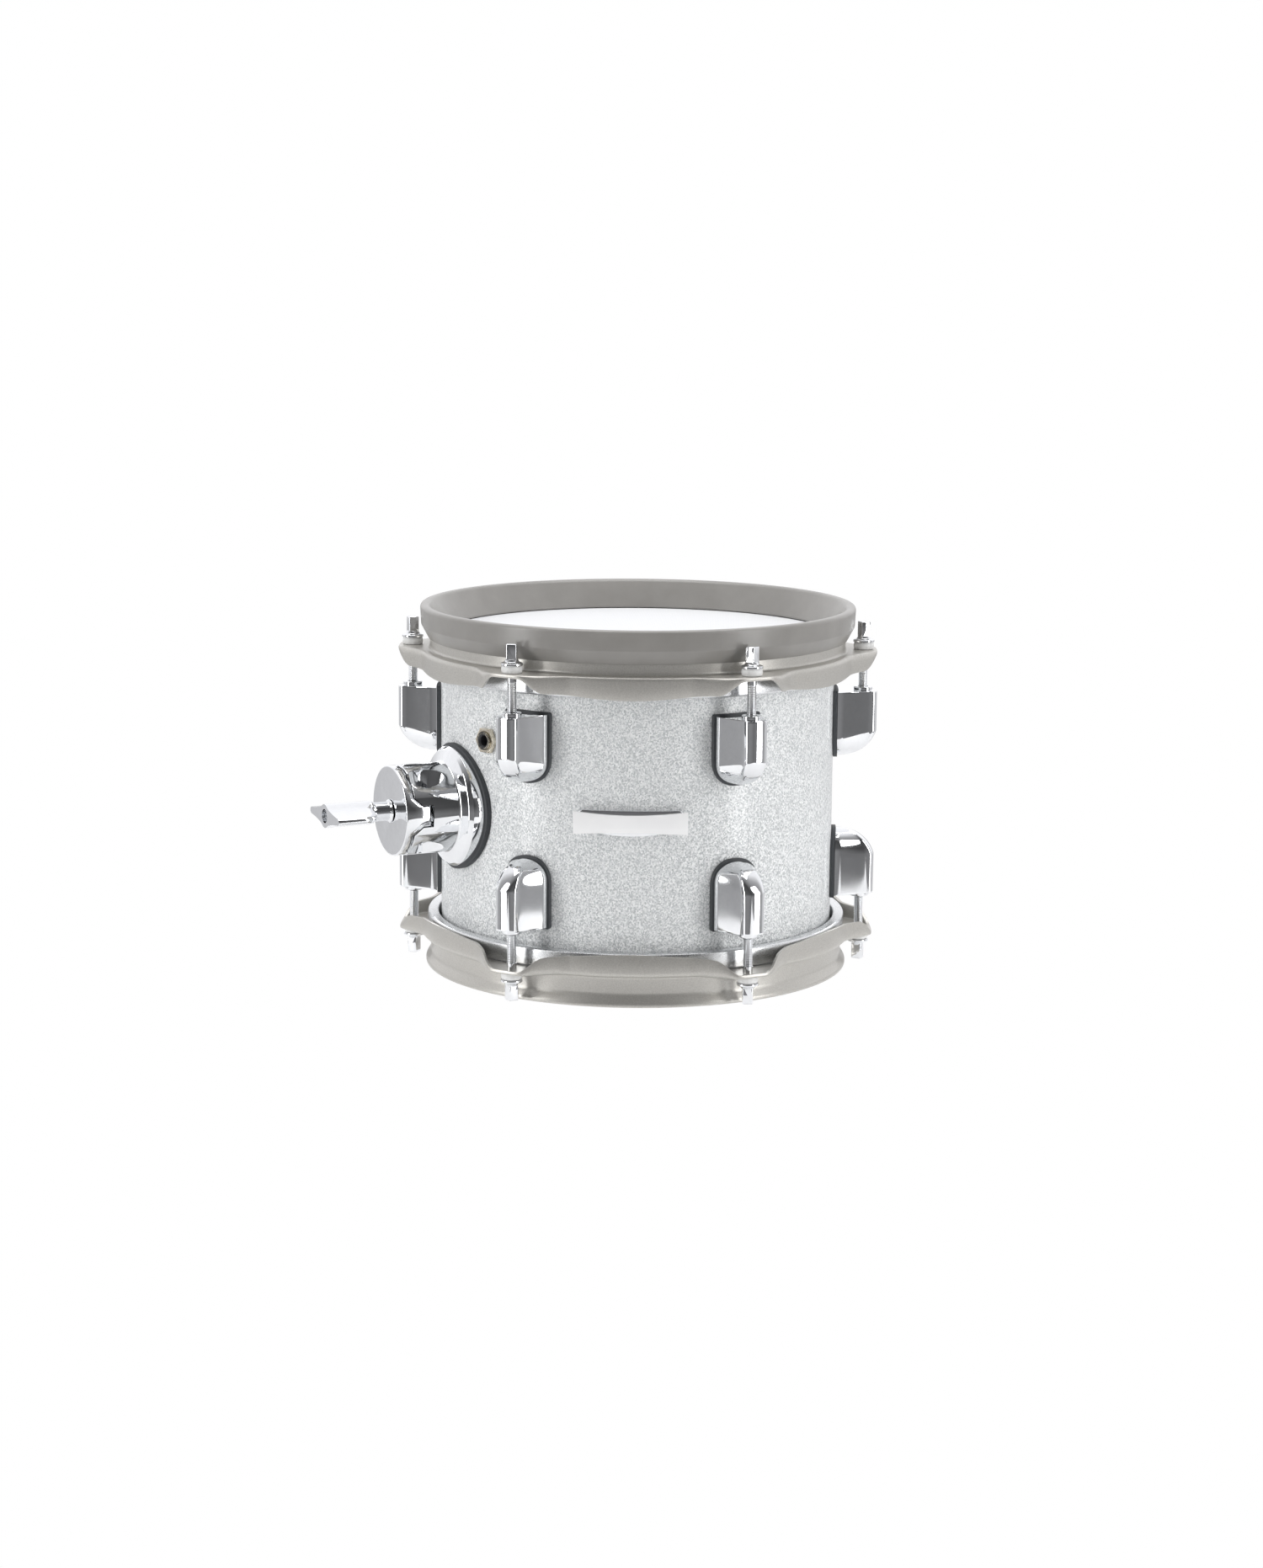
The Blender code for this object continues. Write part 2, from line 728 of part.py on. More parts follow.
def make_rods(parent):
    end = LUG_END_Z - ROD_IN_LUG
    profile = [
        (0, KEY_Z),
        (KEY_SQUARE * 0.56, KEY_Z),
        (COLLAR_RADIUS, NECK_Z),
        (WASHER_RADIUS, WASHER_Z),
        (ROD_RADIUS, WASHER_Z),
        (ROD_RADIUS, end),
        (0, end),
    ]
    rod = turned("rod", profile, 8)
    key_radius = KEY_SQUARE / sqrt(2)
    foot = KEY_Z - NECK_HEIGHT / 2
    key = cylinder("key", key_radius * 1.04, foot, KEY_Z + KEY_HEIGHT, 4, key_radius, KEY_TURN)
    join(rod, key)
    rod = finish_as(rod, "rod_pattern", chrome(), None)
    place_round(rod, "tension_rod", parent, ROD_CIRCLE_RADIUS)


def place_round(pattern, name, parent, radius=0.0):
    """Six of a piece round the top of the shell and six more turned over below."""
    for index, azimuth in enumerate(LUG_AZIMUTHS, 1):
        turn = radians(azimuth)
        place = round_drum(radius, azimuth, 0)
        copy_of(pattern, f"{name}_top_{index}", parent, place, (0, 0, turn))
        copy_of(pattern, f"{name}_bottom_{index}", parent, place, (0, pi, turn))
    bpy.data.objects.remove(pattern, do_unlink=True)


# Rod clamp. Its frame has +Z out of the drum, +Y up and +X round the shell.
def mount_cylinder(name, radius):
    """A cylinder about the drum's axis, in the clamp's frame."""
    body = drum_cylinder(name, radius)
    move(body, rotation=(0, 0, radians(-MOUNT_AZIMUTH)))
    move(body, rotation=(-pi / 2, 0, 0))
    return body


def bolt_places():
    offset = BACKING_BOLT_OFFSET
    return [(x, y) for x in (-offset, offset) for y in (-offset, offset)]


def bolt_hole(x, y, high):
    hole = cylinder("bolt_hole", BACKING_BOLT_RADIUS + RUNNING_GAP, MOUNT_DEEPEST, high, 6)
    return move(hole, (x, y, 0))


def mount_hole_cutters():
    """Holes in the shell's wall for the clamp's four bolts and its stud head."""
    holes = []
    frame = mount_frame_matrix()
    for x, y in bolt_places():
        hole = bolt_hole(x, y, MOUNT_GASKET_OUTER + CUT_PAST)
        hole.data.transform(frame)
        holes.append(hole)
    return holes


def mount_frame_matrix():
    turn = Matrix.Rotation(radians(MOUNT_AZIMUTH), 4, "Z")
    tip = Matrix.Rotation(pi / 2, 4, "X")
    return Matrix.Translation((0, 0, -MOUNT_DROP)) @ turn @ tip


def make_mount_gasket(parent):
    high = MOUNT_GASKET_OUTER + CUT_PAST
    disc = cylinder("disc", MOUNT_GASKET_RADIUS, MOUNT_DEEPEST, high, MOUNT_FACETS)
    keep_inside(disc, mount_cylinder("outer", MOUNT_GASKET_OUTER))
    cut(disc, mount_cylinder("inner", GASKET_INNER))
    for x, y in bolt_places():
        cut(disc, bolt_hole(x, y, high))
    return finish_as(disc, "mount_gasket", black_rubber(), parent)


def rod_bore(name, x):
    end = BOSS_RADIUS + CUT_PAST
    bore = cylinder(name, CLAMP_ROD_BORE, -end, end, 12)
    return move(bore, (x, 0, CLAMP_ROD_CENTRE), (pi / 2, 0, 0))


def rod_mouth(name, x, side):
    """The flared mouth of a rod bore: an oval well, deepest where the rod comes in."""
    bm = bmesh.new()
    bmesh.ops.create_cone(
        bm,
        cap_ends=True,
        segments=10,
        radius1=0.72,
        radius2=1.0,
        depth=1.0,
    )
    bmesh.ops.translate(bm, verts=bm.verts, vec=(0, 0, 0.5))
    length = MOUTH_END - MOUTH_START
    bmesh.ops.scale(bm, verts=bm.verts, vec=(MOUTH_HALF_WIDTH, MOUTH_DEPTH, length))
    mouth = add_object(name, mesh_from(bm, name))
    move(mouth, (0, 0, MOUTH_START))
    return move(mouth, (x, 0, CLAMP_ROD_CENTRE), (-side * pi / 2, 0, 0))


def rod_way_cutters():
    cutters = []
    for x in (-CLAMP_ROD_OFFSET, CLAMP_ROD_OFFSET):
        cutters.append(rod_bore("rod_bore", x))
        cutters.append(rod_mouth("rod_mouth", x, 1))
        cutters.append(rod_mouth("rod_mouth", x, -1))
    return cutters


def across_rods(name, outline):
    """A block with one outline of (height, distance out) points all along the X axis."""
    end = BOSS_RADIUS + CUT_PAST
    block = prism(name, outline, -end, end)
    block.data.transform(Matrix(((0, 0, 1, 0), (1, 0, 0, 0), (0, 1, 0, 0), (0, 0, 0, 1))))
    return block


def cap_outline():
    """The cap with its wedge and tongue, which press the rods into the boss."""
    wide = BOSS_RADIUS + CUT_PAST
    wedge = CAP_BACK - WEDGE_DEPTH
    tip = CAP_BACK - TONGUE_LENGTH
    right = [
        (TONGUE_HALF_WIDTH, tip),
        (TONGUE_HALF_WIDTH, wedge),
        (WEDGE_HALF_WIDTH, CAP_BACK),
        (wide, CAP_BACK),
        (wide, CAP_FACE + CUT_PAST),
    ]
    return right + [(-x, y) for x, y in reversed(right)]


def wedge_way_outline():
    """The way in the boss for the cap's wedge and tongue, with a gap all round."""
    slope = (WEDGE_HALF_WIDTH - TONGUE_HALF_WIDTH) / WEDGE_DEPTH
    half = TONGUE_HALF_WIDTH + TONGUE_SIDE_GAP
    floor = CAP_BACK - TONGUE_LENGTH - TONGUE_END_GAP
    wedge = CAP_BACK - WEDGE_DEPTH
    top = SPLIT_FACE + CUT_PAST
    right = [(half, floor), (half, wedge), (half + slope * (top - wedge), top)]
    return right + [(-x, y) for x, y in reversed(right)]


def make_mount_base(parent):
    rim = MOUNT_SEAT + BASE_FLANGE_EDGE
    profile = [
        (0, SPLIT_FACE),
        (BOSS_RADIUS, SPLIT_FACE),
        (BOSS_RADIUS, SHELL_RADIUS + BOSS_START),
        (CONE_SHOULDER_RADIUS, rim + BASE_FLANGE_RAMP),
        (BASE_FLANGE_RADIUS, rim),
        (BASE_FLANGE_RADIUS, MOUNT_DEEPEST),
        (0, MOUNT_DEEPEST),
    ]
    base = turned("mount_base", profile, MOUNT_FACETS)
    cut(base, mount_cylinder("seat", MOUNT_SEAT))
    for x, y in bolt_places():
        cut(base, bolt_hole(x, y, MOUNT_SEAT + BOLT_IN_BASE))
    pocket_top = stud_head_top() + SEAT_GAP
    high = SPLIT_FACE + CUT_PAST
    head_pocket = cylinder("head_pocket", STUD_HEAD_RADIUS + RUNNING_GAP, MOUNT_DEEPEST, pocket_top, 6)
    stud_hole = cylinder("stud_hole", STUD_RADIUS + RUNNING_GAP, MOUNT_DEEPEST, high, 12)
    cut(base, head_pocket, stud_hole, across_rods("wedge_way", wedge_way_outline()))
    cut(base, *rod_way_cutters())
    return finish_as(base, "mount_base", chrome(), parent, 40)


def make_clamp_cap(parent):
    low = CAP_BACK - TONGUE_LENGTH - CUT_PAST
    high = CAP_FACE + CUT_PAST
    profile = [
        (0, CAP_FACE),
        (BOSS_RADIUS - CAP_EDGE, CAP_FACE),
        (BOSS_RADIUS, CAP_FACE - CAP_EDGE),
        (BOSS_RADIUS, low),
        (0, low),
    ]
    cap = turned("clamp_cap", profile, MOUNT_FACETS)
    keep_inside(cap, across_rods("cap_sides", cap_outline()))
    stud_hole = cylinder("stud_hole", STUD_RADIUS + RUNNING_GAP, low, high, 12)
    cut(cap, stud_hole, *rod_way_cutters())
    return finish_as(cap, "clamp_cap", chrome(), parent, 40)


def stud_head_top():
    return MOUNT_SEAT + STUD_HEAD_INSET + STUD_HEAD_HEIGHT


def make_clamp_stud(parent):
    head_top = stud_head_top()
    low = head_top - STUD_HEAD_HEIGHT
    shank = cylinder("shank", STUD_RADIUS, (low + head_top) / 2, NUT_END - STUD_SHORT_OF_END, 12)
    head = cylinder("head", STUD_HEAD_RADIUS, low, head_top, 6)
    join(shank, head)
    return finish_as(shank, "clamp_stud", zinc_steel(), parent)


def wing_section(reach, height):
    """An eye-shaped section: the round hub drawn out to two thin wing tips."""
    tip = WING_TIP_THICKNESS / 2
    blend = 0.42 * HUB_RADIUS + 0.26 * (reach - HUB_RADIUS)
    quarter = [
        (0.0, HUB_RADIUS),
        (HUB_RADIUS * 0.62, HUB_RADIUS * 0.80),
        (HUB_RADIUS * 0.62 + blend * 0.55, tip + (HUB_RADIUS - tip) * 0.36),
        (reach, tip),
    ]
    right = quarter + [(x, -y) for x, y in reversed(quarter)]
    left = [(-x, -y) for x, y in quarter[1:]] + [(-x, y) for x, y in reversed(quarter[1:])]
    return [Vector((x, y, height)) for x, y in right + left]


def make_wing_nut(parent):
    start = NUT_END - WING_LENGTH
    steps = [
        (HUB_RADIUS + 0.0006, start),
        (WING_REACH - WING_ROUND, start + 0.0012),
        (WING_REACH - WING_ROUND * 0.3, start + WING_ROUND * 0.5),
        (WING_REACH, start + WING_ROUND),
        (WING_REACH, NUT_END),
    ]
    wings = loft("wings", [wing_section(reach, height) for reach, height in steps])
    neck_top = NUT_SEAT + HUB_NECK_LENGTH
    neck = [
        (0, start + 0.002),
        (HUB_RADIUS * 0.97, start + 0.002),
        (HUB_RADIUS * 0.97, neck_top + 0.0012),
        (HUB_NECK_RADIUS, neck_top),
        (HUB_NECK_RADIUS, NUT_SEAT + 0.0016),
        (HUB_NECK_RADIUS + 0.0018, NUT_SEAT),
        (0, NUT_SEAT),
    ]
    join(wings, turned("neck", neck, sides=12))
    bore = cylinder("thread_bore", STUD_RADIUS + RUNNING_GAP, NUT_SEAT - 0.01, NUT_END + 0.01, 12)
    cut(wings, bore)
    return finish_as(wings, "wing_nut", chrome(), parent, 40)


def make_backing_plate(parent):
    """A curved steel plate inside the shell with the heads and shanks of its four bolts."""
    outer = SHELL_INNER - SEAT_GAP
    inner = outer - BACKING_THICKNESS
    size = BACKING_HALF_SIZE
    plate = box("plate", (-size, -size, MOUNT_DEEPEST), (size, size, outer + CUT_PAST))
    keep_inside(plate, mount_cylinder("outer", outer))
    cut(plate, mount_cylinder("inner", inner))
    bolt_end = MOUNT_SEAT + BOLT_IN_BASE - RUNNING_GAP
    for x, y in bolt_places():
        surface = sqrt(inner ** 2 - x * x)
        low = surface - BOLT_HEAD_HEIGHT
        head = cylinder("head", BOLT_HEAD_RADIUS, low, surface + BACKING_THICKNESS / 2, 6)
        shank = cylinder("shank", BACKING_BOLT_RADIUS, surface, bolt_end, 6)
        join(plate, move(head, (x, y, 0)), move(shank, (x, y, 0)))
    return finish_as(plate, "mount_backing_plate", zinc_steel(), parent)


# Badge
def badge_outline(half_width, top, bottom, waist):
    """Half-width steps across the plate, with its long edges bowed by the waist."""
    shares = (-1.0, -0.6, -0.2, 0.2, 0.6, 1.0)
    upper = [(half_width * s, top - waist * (1 - s * s)) for s in shares]
    lower = [(half_width * s, -bottom + waist * (1 - s * s)) for s in reversed(shares)]
    return upper + lower


def curved_plate(name, outline, inner, outer):
    """A plate that follows the shell's curve, cut from a ring by its outline."""
    plate = prism(name, outline, inner - CUT_PAST, outer + CUT_PAST)
    move(plate, rotation=(pi / 2, 0, 0))
    keep_inside(plate, drum_cylinder("outer", outer))
    return cut(plate, drum_cylinder("inner", inner))


def make_badge(parent):
    half = BADGE_END_HEIGHT / 2
    inner = SHELL_RADIUS + BADGE_STANDOFF
    outline = badge_outline(BADGE_WIDTH / 2, half, half, BADGE_WAIST)
    plate = curved_plate("badge_plate", outline, inner, inner + BADGE_THICKNESS)
    plate = finish_as(plate, "badge_plate", badge_white(), parent)
    plate.location = (0, 0, BADGE_RISE)
    low = -BADGE_BASE_BOTTOM
    shares = (-1.0, -0.62, 0.0, 0.62, 1.0)
    lower = [(BADGE_BASE_HALF_WIDTH * s, low + BADGE_BASE_BOW * s * s) for s in reversed(shares)]
    edge = [(-BADGE_BASE_HALF_WIDTH, BADGE_BASE_TOP), (BADGE_BASE_HALF_WIDTH, BADGE_BASE_TOP)]
    base = curved_plate("badge_base", edge + lower, GASKET_INNER, inner - SEAT_GAP)
    base = finish_as(base, "badge_base", chrome(), parent)
    base.location = (0, 0, BADGE_RISE)


# Output jack. Its frame has +Z out of the drum and +Y up.
def jack_frame_matrix():
    turn = Matrix.Rotation(radians(JACK_AZIMUTH), 4, "Z")
    tip = Matrix.Rotation(pi / 2, 4, "X")
    return Matrix.Translation((0, 0, JACK_RISE)) @ turn @ tip


def jack_hole_cutter():
    low = SHELL_INNER - CUT_PAST
    high = SHELL_RADIUS + CUT_PAST
    hole = cylinder("jack_hole", JACK_BUSHING_RADIUS + RUNNING_GAP, low, high, 16)
    hole.data.transform(jack_frame_matrix())
    return hole


def jack_cylinder(name, radius):
    body = drum_cylinder(name, radius)
    move(body, rotation=(0, 0, radians(-JACK_AZIMUTH)))
    return move(body, rotation=(-pi / 2, 0, 0))


def jack_seat():
    """How far out the socket's flat front goes before its corners meet the shell's wall."""
    return sqrt((SHELL_INNER * cos(pi / FACETS)) ** 2 - (JACK_BODY_WIDTH / 2) ** 2) - SEAT_GAP


def make_jack(parent):
    flat = jack_seat()
    nut_low = SHELL_RADIUS + SEAT_GAP
    end = nut_low + JACK_BUSHING_RISE
    body_low = flat - JACK_BODY_LENGTH
    width = JACK_BODY_WIDTH / 2
    height = JACK_BODY_HEIGHT / 2
    socket = box("socket", (-width, -height, body_low), (width, height, flat))
    join(socket, cylinder("bushing", JACK_BUSHING_RADIUS, flat - JACK_WALL, end, 16))
    bore = cylinder("bore", JACK_BORE_RADIUS, body_low + JACK_WALL, end + JACK_WALL, 12)
    sink = JACK_COUNTERSINK - JACK_BORE_RADIUS
    mouth = cylinder("mouth", JACK_BORE_RADIUS, end - sink, end + sink, 12, JACK_COUNTERSINK + sink)
    cut(socket, bore, mouth)
    finish_as(socket, "jack_socket", black_plastic(), parent)
    deep = SHELL_INNER - CUT_PAST
    nut = cylinder("nut", JACK_NUT_RADIUS, SHELL_INNER, nut_low + JACK_NUT_HEIGHT, 6, turn=30)
    cut(nut, jack_cylinder("seat", nut_low))
    cut(nut, cylinder("hole", JACK_BUSHING_RADIUS + SEAT_GAP, deep, end + CUT_PAST, 16))
    finish_as(nut, "jack_nut", nickel(), parent)


# Trigger inside the shell
def make_beam(parent):
    """A folded steel channel across the shell, with a tab down each end to the wall."""
    half = BEAM_WIDTH / 2
    top = BEAM_Z
    wall = SHELL_INNER - SEAT_GAP
    beam = box("web", (-wall, -half, top - BRACKET_HEIGHT), (wall, half, top))
    keep_inside(beam, drum_cylinder("wall", wall))
    length = wall * cos(pi / FACETS) - BEAM_THICKNESS
    fold = half - BEAM_THICKNESS
    under = top - BRACKET_HEIGHT - CUT_PAST
    hollow = (-length, -fold, under)
    cut(beam, box("hollow", hollow, (length, fold, top - BEAM_THICKNESS)))
    for side in (-1, 1):
        low, high = sorted((side * fold, side * (half + CUT_PAST)))
        open_side = (-length, low, under)
        cut(beam, box("open_side", open_side, (length, high, top - BEAM_LIP)))
    return finish_as(beam, "sensor_beam", zinc_steel(), parent)


def make_sensors(parent):
    plate_low = BEAM_Z + SEAT_GAP
    plate_top = plate_low + SENSOR_PLATE_THICKNESS
    plate = cylinder("plate", SENSOR_PLATE_RADIUS, plate_low, plate_top, 24)
    finish_as(plate, "head_sensor", black_plastic(), parent)
    cone_top = EDGE_Z
    cone = cylinder("cone", CONE_BASE_RADIUS, plate_top + SEAT_GAP, cone_top, 20, CONE_TIP_RADIUS)
    finish_as(cone, "sensor_cone", grey_foam(), parent)
    rim = cylinder("rim", RIM_SENSOR_RADIUS, plate_low, plate_low + RIM_SENSOR_THICKNESS, 18)
    finish_as(move(rim, (RIM_SENSOR_OFFSET, 0, 0)), "rim_sensor", black_plastic(), parent)


def lead_route():
    """Points from the back of the jack up to the sensor plate's edge, in the drum's frame."""
    jack = jack_frame_matrix()
    back = jack_seat() - JACK_BODY_LENGTH - SEAT_GAP
    start = jack @ Vector((0, 0, back))
    bend = jack @ Vector((0, LEAD_RADIUS, back - LEAD_STRAIGHT))
    plate_z = BEAM_Z + SEAT_GAP + SENSOR_PLATE_THICKNESS / 2
    aim = Vector((start.x, start.y, 0)).normalized()
    end = aim * (SENSOR_PLATE_RADIUS + RUNNING_GAP)
    near = aim * (SENSOR_PLATE_RADIUS + LEAD_STRAIGHT)
    return [start, bend, Vector((near.x, near.y, plate_z)), Vector((end.x, end.y, plate_z))]


def make_lead(parent):
    start, bend, near, end = lead_route()
    curve = bpy.data.curves.new("sensor_lead", "CURVE")
    curve.dimensions = "3D"
    curve.bevel_depth = LEAD_RADIUS
    curve.bevel_resolution = 1
    curve.use_fill_caps = True
    spline = curve.splines.new("POLY")
    steps = 9
    spline.points.add(steps)
    for index in range(steps + 1):
        share = index / steps
        rest = 1 - share
        place = (
            start * rest ** 3
            + bend * (3 * rest ** 2 * share)
            + near * (3 * rest * share ** 2)
            + end * share ** 3
        )
        spline.points[index].co = (*place, 1.0)
    wire = bpy.data.objects.new("sensor_lead", curve)
    DRUM.objects.link(wire)
    bpy.context.view_layer.update()
    graph = bpy.context.evaluated_depsgraph_get()
    mesh = bpy.data.meshes.new_from_object(wire.evaluated_get(graph))
    bpy.data.objects.remove(wire, do_unlink=True)
    bm = bmesh.new()
    bm.from_mesh(mesh)
    bmesh.ops.remove_doubles(bm, verts=bm.verts, dist=0.00001)
    bm.to_mesh(mesh)
    bm.free()
    lead = add_object("sensor_lead", mesh)
    return finish_as(lead, "sensor_lead", black_rubber(), parent)


def make_drum():
    centre = add_empty("drum_centre", (0, 0, MIDDLE_Z))
    make_shell(centre)
    make_head("batter_head", mesh_fabric(), centre)
    make_head("bottom_head", white_film(), centre, lower=True)
    make_flesh_hoops(centre)
    make_hoops(centre)
    make_rim_cover(centre)
    make_lugs(centre)
    make_gaskets(centre)
    make_rods(centre)
    clamp_turn = (pi / 2, 0, radians(MOUNT_AZIMUTH))
    clamp = add_empty("clamp_axis", (0, 0, -MOUNT_DROP), clamp_turn, centre)
    make_mount_gasket(clamp)
    make_mount_base(clamp)
    make_backing_plate(clamp)
    make_clamp_cap(clamp)
    make_clamp_stud(clamp)
    make_wing_nut(clamp)
    make_badge(centre)
    jack_turn = (pi / 2, 0, radians(JACK_AZIMUTH))
    jack = add_empty("jack_axis", (0, 0, JACK_RISE), jack_turn, centre)
    make_jack(jack)
    make_beam(centre)
    make_sensors(centre)
    make_lead(centre)


make_drum()
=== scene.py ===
"""The electronic tom drum dressed for its picture: smooth geometry and detailed finishes."""

from math import atan, cos, pi, radians, sin, sqrt, tan

import bpy
import bmesh
from mathutils import Euler, Matrix, Vector


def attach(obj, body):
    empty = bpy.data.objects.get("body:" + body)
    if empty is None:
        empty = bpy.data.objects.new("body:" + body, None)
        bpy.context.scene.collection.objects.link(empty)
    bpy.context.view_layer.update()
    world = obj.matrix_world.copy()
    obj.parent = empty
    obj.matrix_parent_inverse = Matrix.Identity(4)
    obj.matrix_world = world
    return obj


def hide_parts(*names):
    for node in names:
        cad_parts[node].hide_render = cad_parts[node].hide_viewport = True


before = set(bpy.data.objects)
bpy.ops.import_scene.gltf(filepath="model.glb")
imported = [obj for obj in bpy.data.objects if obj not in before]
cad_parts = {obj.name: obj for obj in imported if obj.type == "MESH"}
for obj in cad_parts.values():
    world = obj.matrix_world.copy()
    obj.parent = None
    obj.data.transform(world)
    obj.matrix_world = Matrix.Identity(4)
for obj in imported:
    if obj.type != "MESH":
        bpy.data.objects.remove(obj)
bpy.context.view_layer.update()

# Shell, heads and hoops in metres, with heights from the shell's middle plane
MIDDLE_Z = -0.1025
SHELL_RADIUS = 0.127
SHELL_WALL = 0.0065
SHELL_GAP = 0.0002
EDGE_Z = 0.1016
EDGE_SLOPE = 0.004
EDGE_FLAT = 0.0024
EDGE_BREAK = 0.0012
HEAD_TOP = 0.1025
HEAD_SHEET = 0.0006
HEAD_SKIRT_Z = 0.0908
FLANGE_Z = 0.0932
RIM_Z = 0.1125
CREST_Z = 0.1213
HOOP_SHEET = 0.0023
HOOP_LIP_RADIUS = 0.1372
HOOP_WALL_RADIUS = 0.1340
EAR_RADIUS = 0.1545
LOBE_RADIUS = 0.1408
EAR_SKIRT = 0.0024
LOBE_SKIRT = 0.0146
EAR_ANGLE = 3.2
FOLD_ANGLE = 15.0
DROP_ANGLE = 9.0
SLOW_ANGLE = 4.5
DROP_SHARE = 0.72
SLOW_SHARE = 0.28

# Lugs and tension rods
LUG_COUNT = 6
LUG_SPACING = 360 / LUG_COUNT
FIRST_LUG = 30
LUG_AZIMUTHS = [FIRST_LUG + LUG_SPACING * index for index in range(LUG_COUNT)]
LUG_END_Z = 0.0666
LUG_HEIGHT = 0.0425
LUG_SEAT = 0.1301
LUG_REACH = 0.0247
LUG_HALF_WIDTH = 0.0152
LUG_FACE_HALF_WIDTH = 0.0074
LUG_STRAIGHT = 0.0190
LUG_FOOT = 0.0012
LUG_CORNER = 0.0026
COLLAR_RADIUS = 0.0060
COLLAR_RISE = 0.0024
GASKET_MARGIN = 0.0012
ROD_CIRCLE = 0.1457
ROD_RADIUS = 0.0030
ROD_BORE = 0.0034
ROD_PITCH = 0.00106
ROD_THREAD_DEPTH = 0.00048
KEY_WIDTH = 0.00635

# Rod clamp and wing nut, with their faces as distances out from the drum's axis
MOUNT_AZIMUTH = -62.0
MOUNT_DROP = 0.0017
MOUNT_SEAT = 0.1304
SEAL_RADIUS = 0.0400
BOSS_RADIUS = 0.0285
SPLIT_FACE = 0.1665
CAP_BACK = 0.1675
CAP_FACE = 0.1728
ROD_WAY = 0.1560
ROD_WAY_OFFSET = 0.017
ROD_WAY_RADIUS = 0.0060
ROD_WAY_REACH = 0.04
MOUTH_SIZE = (0.0071, 0.0146, 0.0190)
MOUTH_NARROW = 0.72
MOUTH_START = 0.0135
WEDGE_FOOT = 0.1613
STUD_RADIUS = 0.0040
STUD_PITCH = 0.00125
STUD_THREAD_DEPTH = 0.0005
STUD_HOLE = 0.0045
NUT_SEAT = 0.1731
NUT_END = 0.2164
WING_START = NUT_END - 0.0290
WING_REACH = 0.0252
WING_CURVE = 0.0130
WING_RISE = 0.0110
HUB_RADIUS = 0.0075
WING_TIP = 0.0021

# Badge and cable socket
BADGE_RISE = 0.0017
BADGE_WIDTH = 0.0705
BADGE_HEIGHT = 0.0144
BADGE_WAIST = 0.0017
HOLDER_HALF_WIDTH = 0.03345
HOLDER_FACE = 0.0052
BADGE_BACK = 0.0055
BADGE_FACE = 0.0067
JACK_AZIMUTH = -45.2
JACK_RISE = 0.0454
JACK_HOLE = 0.0062

# Counts of sides, and angles in degrees: hard edges, edges to bevel, edges flat enough to drop
DRUM_SIDES = 256
RING_SIDES = 192
PLATE_SIDES = 360
HOOP_SECTIONS = 432
THREAD_ROWS = 6
HARD_EDGE = 35
BEVEL_EDGE = 30
FLAT_EDGE = 0.6

# Points closer than these are merged: in what is made here, and in what a cut leaves
SAME_POINT = 0.000001
SAME_CORNER = 0.00002

# The most of a side that the rounding of one of its corners may take
SIDE_SHARE = 0.49

# The camera solved from the photograph: metres, degrees, and pixels of the whole frame
CAMERA_DISTANCE = 2.0339
CAMERA_AZIMUTH = 1.59
CAMERA_ELEVATION = 10.36
CAMERA_ROLL = 0.46
CAMERA_FOCAL = 3708.0
CAMERA_AIM = (6.17, 4.77)
FRAME_HEIGHT = 1862.0
SENSOR_WIDTH = 36.0

# The studio: its floor, and the room's greys from the camera's side to behind the drum
FLOOR_HALF = 0.8
FLOOR_Z = -0.36
HORIZON_BLEND = 0.12
ROOM_BLUE = 1.02
LOW_ROOM = [
    (0.0, 0.24),
    (0.16, 0.16),
    (0.22, 0.20),
    (0.33, 0.32),
    (0.50, 0.42),
    (0.62, 0.72),
    (0.78, 0.62),
    (1.0, 0.50),
]
HIGH_ROOM = [
    (0.0, 0.10),
    (0.18, 0.06),
    (0.30, 0.22),
    (0.45, 0.42),
    (0.60, 0.95),
    (1.0, 1.15),
]

# Sockets of Blender's Mix node when it mixes colours
MIX_FACTOR = 0
MIX_FIRST = 6
MIX_SECOND = 7
MIX_RESULT = 2

# The part of a noise's range that is spread over a finish's whole range
NOISE_LOW = 0.3
NOISE_HIGH = 0.7


# Geometry helpers
def new_object(name, mesh):
    item = bpy.data.objects.new(name, mesh)
    bpy.context.scene.collection.objects.link(item)
    return item


def object_from(name, bm):
    mesh = bpy.data.meshes.new(name)
    bm.to_mesh(mesh)
    bm.free()
    return new_object(name, mesh)


def smooth(mesh, angle=HARD_EDGE):
    """Shades a mesh smooth and keeps the edges above the angle hard."""
    mesh.shade_smooth()
    mesh.set_sharp_from_angle(angle=radians(angle))


def mesh_of(name, points, faces, angle=HARD_EDGE):
    mesh = bpy.data.meshes.new(name)
    mesh.from_pydata([tuple(point) for point in points], [], faces)
    mesh.validate()
    bm = bmesh.new()
    bm.from_mesh(mesh)
    bmesh.ops.remove_doubles(bm, verts=bm.verts, dist=SAME_POINT)
    bmesh.ops.recalc_face_normals(bm, faces=bm.faces)
    bm.to_mesh(mesh)
    bm.free()
    smooth(mesh, angle)
    return mesh


